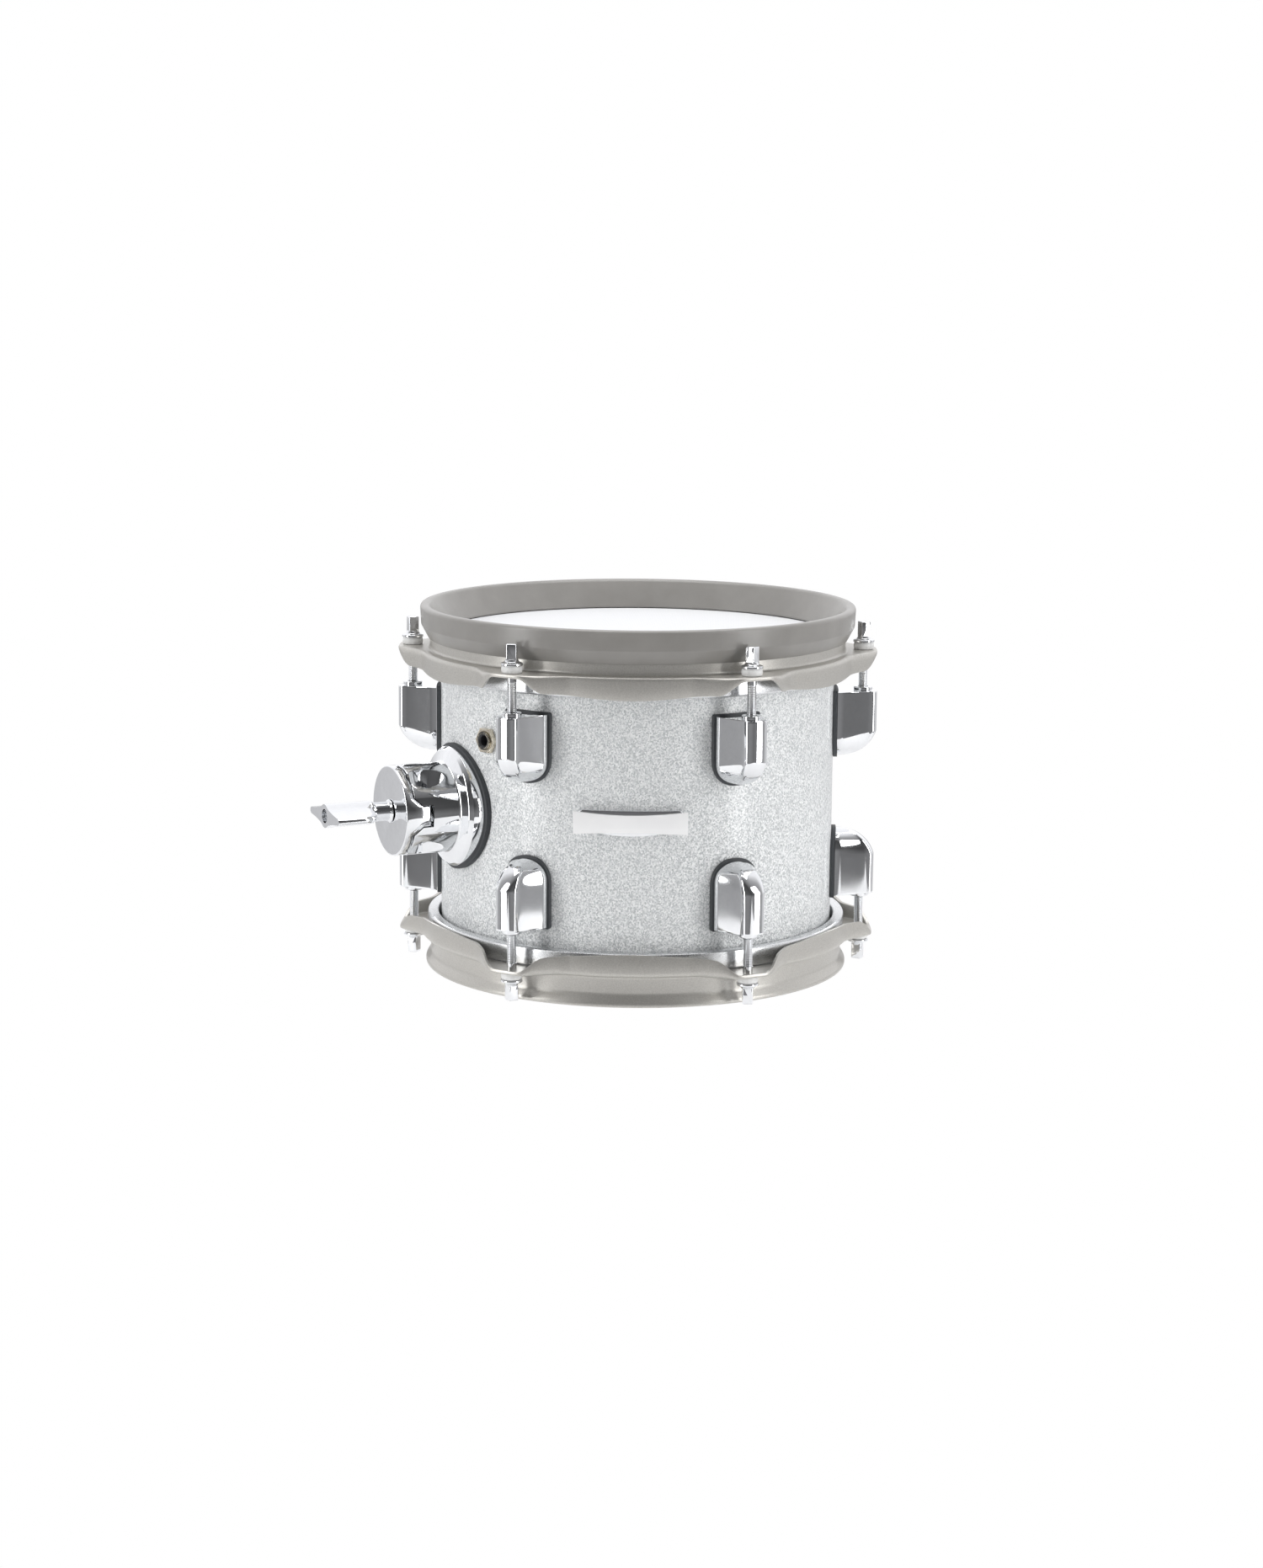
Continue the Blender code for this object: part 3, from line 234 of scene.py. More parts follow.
def fillet(points, radii, closed=False, steps=4):
    """A polyline with each corner rounded by its own radius, with a fixed count of points."""
    count = len(points)
    made = []
    for index in range(count):
        here = Vector(points[index])
        radius = radii[index]
        end = not closed and index in (0, count - 1)
        if radius <= 0 or end:
            made.append(here)
            continue
        before = Vector(points[index - 1]) - here
        after = Vector(points[(index + 1) % count]) - here
        reach = min(before.length, after.length) * SIDE_SHARE
        turn = before.angle(after)
        back = min(radius / tan(turn / 2), reach) if turn > 0.001 else 0
        first = here + before.normalized() * back
        last = here + after.normalized() * back
        for step in range(steps + 1):
            share = step / steps
            one = first.lerp(here, share)
            two = here.lerp(last, share)
            made.append(one.lerp(two, share))
    return made


def quads(rows, count, rows_close, ends_meet):
    """Four-sided faces between neighbouring rows of points, each row with the same count."""
    faces = []
    for row in range(rows if rows_close else rows - 1):
        here = row * count
        there = (row + 1) % rows * count
        for index in range(count if ends_meet else count - 1):
            after = (index + 1) % count
            faces.append((here + index, here + after, there + after, there + index))
    return faces


def turned_mesh(name, profile, sides=RING_SIDES, closed=False, angle=HARD_EDGE):
    """A mesh turned about Z from (radius, height) points."""
    points = []
    for side in range(sides):
        turn = 2 * pi * side / sides
        for radius, height in profile:
            points.append((radius * cos(turn), radius * sin(turn), height))
    return mesh_of(name, points, quads(sides, len(profile), True, closed), angle)


def turned(name, corners, radii, sides, steps=4, closed=False, angle=HARD_EDGE):
    """An object turned about Z from (radius, height) corners, each with its own rounding."""
    profile = fillet(corners, radii, closed, steps)
    return new_object(name, turned_mesh(name, profile, sides, closed, angle))


def loft_mesh(name, sections, ring=False, angle=HARD_EDGE):
    """A skin over equal sections, closed to a ring or capped at both ends."""
    count = len(sections[0])
    total = len(sections)
    points = [point for section in sections for point in section]
    faces = quads(total, count, ring, True)
    if not ring:
        faces.append(tuple(range(count)))
        faces.append(tuple((total - 1) * count + index for index in reversed(range(count))))
    return mesh_of(name, points, faces, angle)


def applied(item):
    """Turns an object's modifiers into its mesh."""
    bpy.context.view_layer.update()
    graph = bpy.context.evaluated_depsgraph_get()
    mesh = bpy.data.meshes.new_from_object(item.evaluated_get(graph), depsgraph=graph)
    item.modifiers.clear()
    item.data = mesh


def combine(item, other, operation):
    """Joins, cuts or intersects an object with another, which is used up."""
    step = item.modifiers.new("step", "BOOLEAN")
    step.operation = operation
    step.solver = "EXACT"
    step.object = other
    applied(item)
    mesh = other.data
    bpy.data.objects.remove(other, do_unlink=True)
    bpy.data.meshes.remove(mesh)
    return item


def cut(item, *others):
    for other in others:
        combine(item, other, "DIFFERENCE")
    return item


def join(item, other):
    return combine(item, other, "UNION")


def keep_inside(item, other):
    return combine(item, other, "INTERSECT")


def cylinder(name, radius, low, high, sides=64, top_radius=None, turn=0.0):
    """A cylinder or cone about Z from one height to another, turned by an angle in degrees."""
    bm = bmesh.new()
    bmesh.ops.create_cone(
        bm,
        cap_ends=True,
        segments=sides,
        radius1=radius,
        radius2=radius if top_radius is None else top_radius,
        depth=high - low,
        matrix=Matrix.Rotation(radians(turn), 4, "Z"),
    )
    bmesh.ops.translate(bm, verts=bm.verts, vec=(0, 0, (low + high) / 2))
    return object_from(name, bm)


def drum_cylinder(name, radius, sides=DRUM_SIDES):
    """A cylinder about the drum's axis, as high as the shell."""
    return cylinder(name, radius, -EDGE_Z, EDGE_Z, sides)


def box(name, low, high):
    bm = bmesh.new()
    bmesh.ops.create_cube(bm, size=1.0)
    bmesh.ops.scale(bm, verts=bm.verts, vec=Vector(high) - Vector(low))
    bmesh.ops.translate(bm, verts=bm.verts, vec=(Vector(high) + Vector(low)) / 2)
    return object_from(name, bm)


def prism(name, outline, low, high):
    """A straight block over an outline of (x, y) points, with its points in a fixed order."""
    sections = [[(x, y, height) for x, y in outline] for height in (low, high)]
    return new_object(name, loft_mesh(name, sections))


def move(item, location=(0, 0, 0), rotation=(0, 0, 0)):
    """Turns and then shifts an object's mesh, not the object."""
    item.data.transform(Matrix.Translation(location) @ Euler(rotation).to_matrix().to_4x4())
    return item


def bevelled(item, width, segments):
    """Rounds the hard edges a little, so that they catch the light."""
    bm = bmesh.new()
    bm.from_mesh(item.data)
    bmesh.ops.remove_doubles(bm, verts=bm.verts, dist=SAME_CORNER)
    flat = radians(FLAT_EDGE)
    bmesh.ops.dissolve_limit(bm, angle_limit=flat, verts=bm.verts, edges=bm.edges)
    bm.to_mesh(item.data)
    bm.free()
    step = item.modifiers.new("edges", "BEVEL")
    step.width = width
    step.segments = segments
    step.limit_method = "ANGLE"
    step.angle_limit = radians(BEVEL_EDGE)
    step.use_clamp_overlap = True
    applied(item)
    smooth(item.data)
    return item


def mesh_alone(item):
    """The object's mesh, with the object itself removed."""
    mesh = item.data
    bpy.data.objects.remove(item, do_unlink=True)
    return mesh


def mirrored(half):
    """One half of an outline, followed by its mirror image in the opposite order."""
    return half + [(-x, y) for x, y in reversed(half)]


def smoothstep(value, low, high):
    share = min(max((value - low) / (high - low), 0.0), 1.0)
    return share * share * (3 - 2 * share)


def round_drum(radius, azimuth, height):
    """A point at an azimuth in degrees, which is 0 at the front and grows to the right."""
    turn = radians(azimuth)
    return Vector((radius * sin(turn), -radius * cos(turn), height))


def outward(azimuth, height):
    """A frame on the drum's axis whose Z points out of the shell and whose Y points up."""
    turn = Matrix.Rotation(radians(azimuth), 4, "Z")
    tip = Matrix.Rotation(pi / 2, 4, "X")
    return Matrix.Translation((0, 0, height)) @ turn @ tip


def drum_in_frame(radius, azimuth=MOUNT_AZIMUTH):
    """The drum's cylinder as it lies in the outward frame at an azimuth."""
    body = drum_cylinder("drum_round", radius)
    move(body, rotation=(0, 0, radians(-azimuth)))
    return move(body, rotation=(-pi / 2, 0, 0))


def in_drum(item, lower=False):
    """Places a mesh made round the shell's middle, turned over for the lower end."""
    item.location = (0, 0, MIDDLE_Z)
    item.rotation_euler = (0, pi if lower else 0, 0)
    return item


def in_clamp(item):
    item.matrix_world = outward(MOUNT_AZIMUTH, MIDDLE_Z - MOUNT_DROP)
    return item


def finish_piece(item, body, slot, nodes, finish=None):
    """Gives a piece its finish, the slot's one unless another is given, puts it on its body and
    hides the CAD nodes it stands for.
    """
    wanted = finish or FINISHES[slot]
    if item.data.materials[:] != [wanted]:
        item.data.materials.clear()
        item.data.materials.append(wanted)
    if nodes:
        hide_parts(*nodes)
    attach(item, body)


# Materials
class Nodes:
    """A short way to write a procedural material."""

    def __init__(self, name, colour, roughness, metallic=0.0):
        self.material = bpy.data.materials.new(name)
        self.material.use_nodes = True
        self.tree = self.material.node_tree
        self.shader = self.tree.nodes["Principled BSDF"]
        self.set("Base Color", (*colour, 1.0))
        self.set("Roughness", roughness)
        self.set("Metallic", metallic)
        self.coords = self.tree.nodes.new("ShaderNodeTexCoord")

    def set(self, socket, value):
        self.shader.inputs[socket].default_value = value

    def add(self, kind, operation=None):
        node = self.tree.nodes.new(kind)
        if operation is not None:
            node.operation = operation
        return node

    def link(self, source, output, target, socket):
        self.tree.links.new(source.outputs[output], target.inputs[socket])

    def noise(self, scale, detail, roughness=0.55, stretch=None):
        """Noise in the object's own space, which may be stretched along its axes."""
        noise = self.add("ShaderNodeTexNoise")
        noise.inputs["Scale"].default_value = scale
        noise.inputs["Detail"].default_value = detail
        noise.inputs["Roughness"].default_value = roughness
        if stretch is None:
            self.link(self.coords, "Object", noise, "Vector")
        else:
            mapping = self.add("ShaderNodeMapping")
            mapping.inputs["Scale"].default_value = stretch
            self.link(self.coords, "Object", mapping, "Vector")
            self.link(mapping, "Vector", noise, "Vector")
        return noise

    def cells(self, scale):
        cells = self.add("ShaderNodeTexVoronoi")
        cells.inputs["Scale"].default_value = scale
        self.link(self.coords, "Object", cells, "Vector")
        return cells

    def spread(self, noise, low, high):
        """A noise's middle range spread from one value to another."""
        span = self.add("ShaderNodeMapRange")
        span.inputs["From Min"].default_value = NOISE_LOW
        span.inputs["From Max"].default_value = NOISE_HIGH
        span.inputs["To Min"].default_value = low
        span.inputs["To Max"].default_value = high
        self.link(noise, "Fac", span, "Value")
        return span

    def mix_colour(self, source, output, first, second):
        mix = self.add("ShaderNodeMix")
        mix.data_type = "RGBA"
        mix.inputs[MIX_FIRST].default_value = (*first, 1.0)
        mix.inputs[MIX_SECOND].default_value = (*second, 1.0)
        self.link(source, output, mix, MIX_FACTOR)
        self.link(mix, MIX_RESULT, self.shader, "Base Color")

    def bump(self, source, output, strength, distance):
        bump = self.add("ShaderNodeBump")
        bump.inputs["Strength"].default_value = strength
        bump.inputs["Distance"].default_value = distance
        self.link(source, output, bump, "Height")
        self.link(bump, "Normal", self.shader, "Normal")


def noisy_finish(
    name,
    colour,
    roughness,
    metallic,
    grain,
    gloss,
    shades,
    patch=None,
    relief=None,
    stretch=None,
    sockets=None,
):
    """A finish that varies with noise.

    The grain drives the roughness between the two values of gloss, and the relief's strength
    and depth. The patch, or the grain where there is none, drives the colour between the two
    shades. A noise is given as its scale and detail, with or without its roughness.
    """
    made = Nodes(name, colour, roughness, metallic)
    fine = made.noise(*grain, stretch=stretch)
    made.link(made.spread(fine, *gloss), "Result", made.shader, "Roughness")
    source = fine if patch is None else made.noise(*patch)
    made.mix_colour(made.spread(source, 0.0, 1.0), "Result", *shades)
    if relief is not None:
        made.bump(fine, "Fac", *relief)
    for socket, value in (sockets or {}).items():
        made.set(socket, value)
    return made.material


def sparkle_wrap():
    """Silver flakes of several tilts under a clear gloss coat."""
    made = Nodes("silver_sparkle_wrap_fine", (0.74, 0.76, 0.77), 0.58, 0.22)
    cells = made.cells(1350.0)
    tilt = made.add("ShaderNodeVectorMath", "SUBTRACT")
    tilt.inputs[1].default_value = (0.5, 0.5, 0.5)
    made.link(cells, "Color", tilt, 0)
    scaled = made.add("ShaderNodeVectorMath", "SCALE")
    scaled.inputs["Scale"].default_value = 0.30
    made.link(tilt, 0, scaled, 0)
    geometry = made.add("ShaderNodeNewGeometry")
    added = made.add("ShaderNodeVectorMath", "ADD")
    made.link(geometry, "Normal", added, 0)
    made.link(scaled, 0, added, 1)
    unit = made.add("ShaderNodeVectorMath", "NORMALIZE")
    made.link(added, 0, unit, 0)
    made.link(unit, 0, made.shader, "Normal")
    flake = made.add("ShaderNodeSeparateXYZ")
    made.link(cells, "Color", flake, 0)
    made.mix_colour(flake, "Z", (0.47, 0.49, 0.50), (0.99, 1.0, 1.0))
    made.set("Coat Weight", 0.3)
    made.set("Coat Roughness", 0.12)
    return made.material


def woven_mesh():
    """White woven mesh: two crossing sets of threads with open corners between, the corners
    painted darker as painted shade seen through the weave.
    """
    made = Nodes("white_woven_mesh", (0.90, 0.91, 0.92), 0.75)
    waves = []
    for direction in ("X", "Y"):
        wave = made.add("ShaderNodeTexWave")
        wave.bands_direction = direction
        wave.inputs["Scale"].default_value = 380.0
        made.link(made.coords, "Object", wave, "Vector")
        waves.append(wave)
    top = made.add("ShaderNodeMath", "MAXIMUM")
    for index, wave in enumerate(waves):
        made.link(wave, "Fac", top, index)
    # The crossing threads are the weave's own pattern; the darker open corners are painted shade
    # of the drum's inside, where the bump also sinks.
    made.mix_colour(top, "Value", (0.70, 0.71, 0.73), (0.78, 0.785, 0.795))
    made.bump(top, "Value", 0.35, 0.0002)
    return made.material


def grey_foam():
    made = Nodes("open_grey_foam", (0.15, 0.15, 0.16), 0.95)
    cells = made.cells(900.0)
    # The cells' pits are painted darker than their rims: painted shade in the foam's pores,
    # where the bump also sinks.
    made.mix_colour(cells, "Distance", (0.05, 0.05, 0.055), (0.20, 0.20, 0.21))
    made.bump(cells, "Distance", 0.6, 0.0006)
    return made.material


FINISHES = {
    "shell_wrap": sparkle_wrap(),
    "hoop_metal": noisy_finish(
        "warm_grey_satin",
        (0.50, 0.485, 0.455),
        0.36,
        0.7,
        grain=(2200.0, 2.0, 0.6),
        gloss=(0.30, 0.44),
        shades=((0.48, 0.465, 0.435), (0.60, 0.585, 0.55)),
        patch=(1400.0, 2.0, 0.6),
        relief=(0.12, 0.0001),
    ),
    "rim_rubber": noisy_finish(
        "warm_grey_rubber_matt",
        (0.26, 0.25, 0.235),
        0.62,
        0.0,
        grain=(1800.0, 3.0, 0.6),
        gloss=(0.34, 0.44),
        shades=((0.245, 0.236, 0.222), (0.275, 0.265, 0.25)),
        patch=(60.0, 3.0),
        relief=(0.15, 0.0001),
        sockets={"Coat Weight": 0.35, "Coat Roughness": 0.24},
    ),
    "head_mesh": woven_mesh(),
    "white_plastic": noisy_finish(
        "white_film_head",
        (0.80, 0.81, 0.82),
        0.42,
        0.0,
        grain=(300.0, 3.0),
        gloss=(0.36, 0.50),
        shades=((0.77, 0.78, 0.79), (0.83, 0.84, 0.85)),
        patch=(25.0, 3.0),
        relief=(0.05, 0.0001),
    ),
    "flesh_hoop": noisy_finish(
        "drawn_aluminium_fine",
        (0.74, 0.75, 0.76),
        0.28,
        1.0,
        grain=(900.0, 2.0),
        gloss=(0.22, 0.36),
        shades=((0.70, 0.71, 0.72), (0.80, 0.81, 0.82)),
        stretch=(1.0, 1.0, 12.0),
    ),
    "chrome_plate": noisy_finish(
        "polished_chrome",
        (0.86, 0.87, 0.885),
        0.05,
        1.0,
        grain=(35.0, 2.0),
        gloss=(0.035, 0.075),
        shades=((0.84, 0.85, 0.865), (0.88, 0.89, 0.905)),
        patch=(260.0, 4.0),
        relief=(0.03, 0.0004),
    ),
    "zinc_steel": noisy_finish(
        "zinc_plate_fine",
        (0.58, 0.59, 0.60),
        0.34,
        1.0,
        grain=(120.0, 4.0),
        gloss=(0.26, 0.44),
        shades=((0.50, 0.51, 0.52), (0.66, 0.67, 0.68)),
    ),
    "nickel_plate": noisy_finish(
        "warm_nickel",
        (0.74, 0.68, 0.56),
        0.18,
        1.0,
        grain=(500.0, 3.0),
        gloss=(0.14, 0.26),
        shades=((0.68, 0.61, 0.49), (0.80, 0.75, 0.64)),
    ),
    "badge_white": noisy_finish(
        "white_enamel_plate",
        (0.90, 0.90, 0.90),
        0.16,
        0.0,
        grain=(40.0, 3.0),
        gloss=(0.12, 0.20),
        shades=((0.88, 0.88, 0.885), (0.93, 0.93, 0.93)),
        sockets={"Coat Weight": 0.5},
    ),
    "black_rubber": noisy_finish(
        "black_rubber_matt",
        (0.045, 0.05, 0.055),
        0.55,
        0.0,
        grain=(1500.0, 3.0),
        gloss=(0.48, 0.66),
        shades=((0.038, 0.042, 0.047), (0.058, 0.063, 0.068)),
        relief=(0.15, 0.0001),
    ),
    "black_plastic": noisy_finish(
        "black_moulded_plastic",
        (0.03, 0.03, 0.032),
        0.42,
        0.0,
        grain=(700.0, 3.0),
        gloss=(0.36, 0.50),
        shades=((0.024, 0.024, 0.026), (0.04, 0.04, 0.042)),
        relief=(0.1, 0.0001),
    ),
    "grey_foam": grey_foam(),
}

NYLON = noisy_finish(
    "white_nylon",
    (0.80, 0.80, 0.79),
    0.38,
    0.0,
    grain=(500.0, 3.0),
    gloss=(0.32, 0.46),
    shades=((0.74, 0.74, 0.73), (0.84, 0.84, 0.83)),
    sockets={"Subsurface Weight": 0.15, "Subsurface Radius": (0.001, 0.001, 0.001)},
)


# Shell and heads
def make_shell():
    """The shell with a sloped edge at both ends and a hole for the cable socket."""
    upper = [
        (SHELL_RADIUS - SHELL_WALL, EDGE_Z - EDGE_SLOPE),
        (SHELL_RADIUS - EDGE_FLAT, EDGE_Z),
        (SHELL_RADIUS - EDGE_BREAK, EDGE_Z),
        (SHELL_RADIUS, EDGE_Z - EDGE_BREAK),
    ]
    corners = upper + [(radius, -height) for radius, height in reversed(upper)]
    shell = turned("shell_wall", corners, [0.0005] * 8, DRUM_SIDES, steps=3, closed=True)
    hole = cylinder("hole", JACK_HOLE, 0.11, 0.14, 48)
    hole.data.transform(outward(JACK_AZIMUTH, JACK_RISE))
    cut(shell, hole)
    smooth(shell.data)
    finish_piece(in_drum(shell), "drum", "shell_wrap", ["shell"])


def head_mesh(name):
    """A head's flat playing face, drawn down over the shell's edge."""
    top = HEAD_TOP
    under = top - HEAD_SHEET
    skirt = HEAD_SKIRT_Z
    corners = [(0.0, top), (0.060, top), (0.1262, top), (0.1285, 0.1004), (0.1308, skirt)]
    outer = fillet(corners, [0, 0, 0.0016, 0.0030, 0], steps=6)
    inner = [(0.1299, skirt), (0.1279, 0.1002), (0.1260, under), (0.060, under), (0.0, under)]
    return turned_mesh(name, outer + inner)


def make_heads():
    upper = new_object("mesh_head", head_mesh("mesh_head"))
    finish_piece(in_drum(upper), "drum", "head_mesh", ["batter_head"])
    lower = new_object("film_head", head_mesh("film_head"))
    finish_piece(in_drum(lower, True), "drum", "white_plastic", ["bottom_head"])


def make_flesh_hoops():
    top = FLANGE_Z - HOOP_SHEET - 0.0003
    bottom = top - 0.0115
    corners = [(0.1288, top), (0.1358, top), (0.1358, bottom), (0.1288, bottom)]
    profile = fillet(corners, [0.0012, 0.0012, 0.0016, 0.0016], closed=True)
    mesh = turned_mesh("flesh_hoop_ring", profile, closed=True)
    upper = new_object("upper_flesh_ring", mesh)
    finish_piece(in_drum(upper), "drum", "flesh_hoop", ["batter_flesh_hoop"])
    lower = new_object("lower_flesh_ring", mesh)
    finish_piece(in_drum(lower, True), "drum", "flesh_hoop", ["bottom_flesh_hoop"])


# Hoops
def hoop_section(away):
    """The bent sheet's closed section at an angle away from the nearest ear, in degrees."""
    lobe = smoothstep(away, EAR_ANGLE, FOLD_ANGLE)
    fold = EAR_RADIUS + (LOBE_RADIUS - EAR_RADIUS) * lobe
    drop = smoothstep(away, EAR_ANGLE, DROP_ANGLE)
    slow = smoothstep(away, SLOW_ANGLE, LUG_SPACING / 2)
    deeper = DROP_SHARE * drop + SLOW_SHARE * slow
    skirt = EAR_SKIRT + (LOBE_SKIRT - EAR_SKIRT) * deeper
    outline = [
        (HOOP_LIP_RADIUS, RIM_Z),
        (HOOP_LIP_RADIUS, RIM_Z - 0.0022),
        (HOOP_WALL_RADIUS, RIM_Z - 0.0072),
        (HOOP_WALL_RADIUS, FLANGE_Z),
        (fold, FLANGE_Z),
        (fold - 0.0004, FLANGE_Z - skirt),
    ]
    bend = min(0.0042, skirt * 0.95)
    outer = fillet(outline, [0, 0.0030, 0.0050, 0.0022, bend, 0], steps=6)
    inner = []
    for index, point in enumerate(outer):
        before = outer[max(index - 1, 0)]
        after = outer[min(index + 1, len(outer) - 1)]
        along = (after - before).normalized()
        inner.append(point + Vector((along.y, -along.x)) * HOOP_SHEET)
    return rounded_ends(outer, inner, 0.0005)


def rounded_ends(outer, inner, radius):
    """Joins the two skins of a sheet by softly rounded ends."""
    radii = [0, radius, radius, 0]
    start = fillet([outer[1], outer[0], inner[0], inner[1]], radii, steps=2)[1:-1]
    end = fillet([outer[-2], outer[-1], inner[-1], inner[-2]], radii, steps=2)[1:-1]
    first = list(reversed(start[:3]))
    last = list(reversed(start[3:]))
    return first + outer[1:-1] + end + list(reversed(inner[1:-1])) + last


def hoop_mesh():
    sections = []
    for step in range(HOOP_SECTIONS):
        azimuth = step * 360 / HOOP_SECTIONS
        offset = (azimuth - FIRST_LUG) % LUG_SPACING
        away = min(offset, LUG_SPACING - offset)
        sections.append([round_drum(r, azimuth, h) for r, h in hoop_section(away)])
    return loft_mesh("pressed_hoop", sections, ring=True, angle=50)


def make_hoops():
    mesh = hoop_mesh()
    upper = new_object("upper_pressed_hoop", mesh)
    finish_piece(in_drum(upper), "drum", "hoop_metal", ["batter_hoop"])
    lower = new_object("lower_pressed_hoop", mesh)
    finish_piece(in_drum(lower, True), "drum", "hoop_metal", ["bottom_hoop"])


def make_rim_cover():
    """The rubber ring: each row is a corner's radius and height, and its rounding."""
    rows = [
        (0.1403, CREST_Z, 0.0034),
        (0.1396, 0.1086, 0.0024),
        (0.1352, 0.1003, 0.0003),
        (0.1345, 0.1003, 0.0003),
        (0.1345, 0.1053, 0),
        (0.1377, 0.1103, 0),
        (0.1377, 0.1130, 0),
        (0.1320, 0.1130, 0),
        (0.1312, 0.1029, 0.0004),
        (0.1250, 0.1030, 0.0004),
        (0.1250, 0.1040, 0.0005),
        (0.1347, CREST_Z, 0.0036),
    ]
    corners = [(radius, height) for radius, height, rounding in rows]
    radii = [rounding for radius, height, rounding in rows]
    cover = turned("rubber_rim", corners, radii, DRUM_SIDES, steps=6, closed=True, angle=60)
    finish_piece(in_drum(cover), "drum", "rim_rubber", ["rim_cover"])


# Lugs, gaskets and tension rods
def lug_shape(height):
    """The lug's reach, the half width of its foot and that of its face, at a height."""
    fall = LUG_END_Z - height
    bend = max(fall - LUG_STRAIGHT, 0.0) / (LUG_HEIGHT - LUG_STRAIGHT)
    reach = LUG_REACH * sqrt(max(1 - bend * bend, 0.0)) + LUG_FOOT
    if fall < LUG_CORNER:
        reach -= LUG_CORNER - sqrt(max(LUG_CORNER ** 2 - (LUG_CORNER - fall) ** 2, 0.0))
    from_tip = height - (LUG_END_Z - LUG_HEIGHT)
    round_end = max(1 - from_tip / LUG_HALF_WIDTH, 0.0)
    share = sqrt(max(1 - round_end ** 2.6, 0.004))
    return min(reach, LUG_REACH), LUG_HALF_WIDTH * share, LUG_FACE_HALF_WIDTH * share


def lug_section(height):
    """The lug's outline at a height: foot, drawn-in flank, rounded face, and the same back."""
    reach, base, face = lug_shape(height)
    low = LUG_FOOT if reach > 0.0030 else reach * 0.4
    edge = reach - (reach - low) * 0.16
    points = [(base, -0.0055), (base, low)]
    flank_steps = 9
    for step in range(1, flank_steps + 1):
        share = step / flank_steps
        waist = face + (base - face) * (1 - share) ** 1.05
        points.append((waist, low + (edge - low) * share))
    face_steps = 8
    for step in range(1, face_steps + 1):
        turn = radians(90 * step / face_steps)
        points.append((face * cos(turn) ** 0.62, edge + (reach - edge) * sin(turn) ** 0.9))
    outline = points + [(-x, y) for x, y in reversed(points[:-1])]
    return [Vector((x, -(LUG_SEAT + y), height)) for x, y in outline]


def lug_falls():
    """How far below the lug's end each section lies, closer together at both ends."""
    falls = [0.0, 0.0003, 0.0008, 0.0014, 0.0020, 0.0027]
    first = falls[-1]
    falls += [first + (LUG_STRAIGHT - first) * step / 5 for step in range(1, 6)]
    bent = LUG_HEIGHT - LUG_STRAIGHT
    falls += [LUG_STRAIGHT + bent * sin(radians(90 * step / 26)) for step in range(1, 27)]
    return falls


def lug_mesh():
    """A lug as it lies at the front: the casting, its raised collar and the rod's bore."""
    sections = [lug_section(LUG_END_Z - fall) for fall in lug_falls()]
    lug = new_object("lug_shape", loft_mesh("lug_shape", sections, angle=40))
    cut(lug, drum_cylinder("seat", LUG_SEAT))
    top = LUG_END_Z + COLLAR_RISE
    root = LUG_END_Z - 0.002
    corners = [(0.0, top), (COLLAR_RADIUS, top), (COLLAR_RADIUS, root), (0.0, root)]
    collar = turned("collar", corners, [0, 0.0008, 0, 0], 48)
    join(lug, move(collar, (0, -ROD_CIRCLE, 0)))
    bore = cylinder("bore", ROD_BORE, LUG_END_Z - 0.020, top + 0.002, 32)
    cut(lug, move(bore, (0, -ROD_CIRCLE, 0)))
    smooth(lug.data, 32)
    return mesh_alone(lug)


def gasket_mesh():
    """The thin seal that shows all round a lug's foot."""
    width = LUG_HALF_WIDTH + GASKET_MARGIN
    top = LUG_END_Z + GASKET_MARGIN
    bottom = LUG_END_Z - LUG_HEIGHT - GASKET_MARGIN
    steps = 24
    points = [(width - 0.001, top), (width, top - 0.001)]
    for step in range(steps):
        turn = radians(90 * step / steps)
        points.append((width * cos(turn) ** 0.8, bottom + width * (1 - sin(turn))))
    points.append((0.0, bottom))
    outline = points + [(-x, y) for x, y in reversed(points[:-1])]
    plate = prism("gasket_shape", outline, SHELL_RADIUS - 0.006, LUG_SEAT + 0.006)
    move(plate, rotation=(pi / 2, 0, 0))
    keep_inside(plate, drum_cylinder("outer", LUG_SEAT - 0.0003))
    cut(plate, drum_cylinder("inner", SHELL_RADIUS + SHELL_GAP))
    return mesh_alone(bevelled(plate, 0.0005, 2))


def thread_mesh(name, radius, depth, pitch, low, high, sides=24):
    """A rod with a helical thread that fades out at both of its closed ends."""
    count = int((high - low) / pitch * THREAD_ROWS)
    points = []
    for row in range(count + 1):
        height = low + (high - low) * row / count
        ease = min(row, count - row, THREAD_ROWS) / THREAD_ROWS
        for side in range(sides):
            turn = 2 * pi * side / sides
            phase = ((height / pitch) - side / sides) % 1.0
            groove = abs(2 * phase - 1)
            r = radius - depth * groove * ease
            points.append((r * cos(turn), r * sin(turn), height))
    faces = quads(count + 1, sides, False, True)
    faces.append(tuple(reversed(range(sides))))
    faces.append(tuple(count * sides + side for side in range(sides)))
    return mesh_of(name, points, faces, 60)


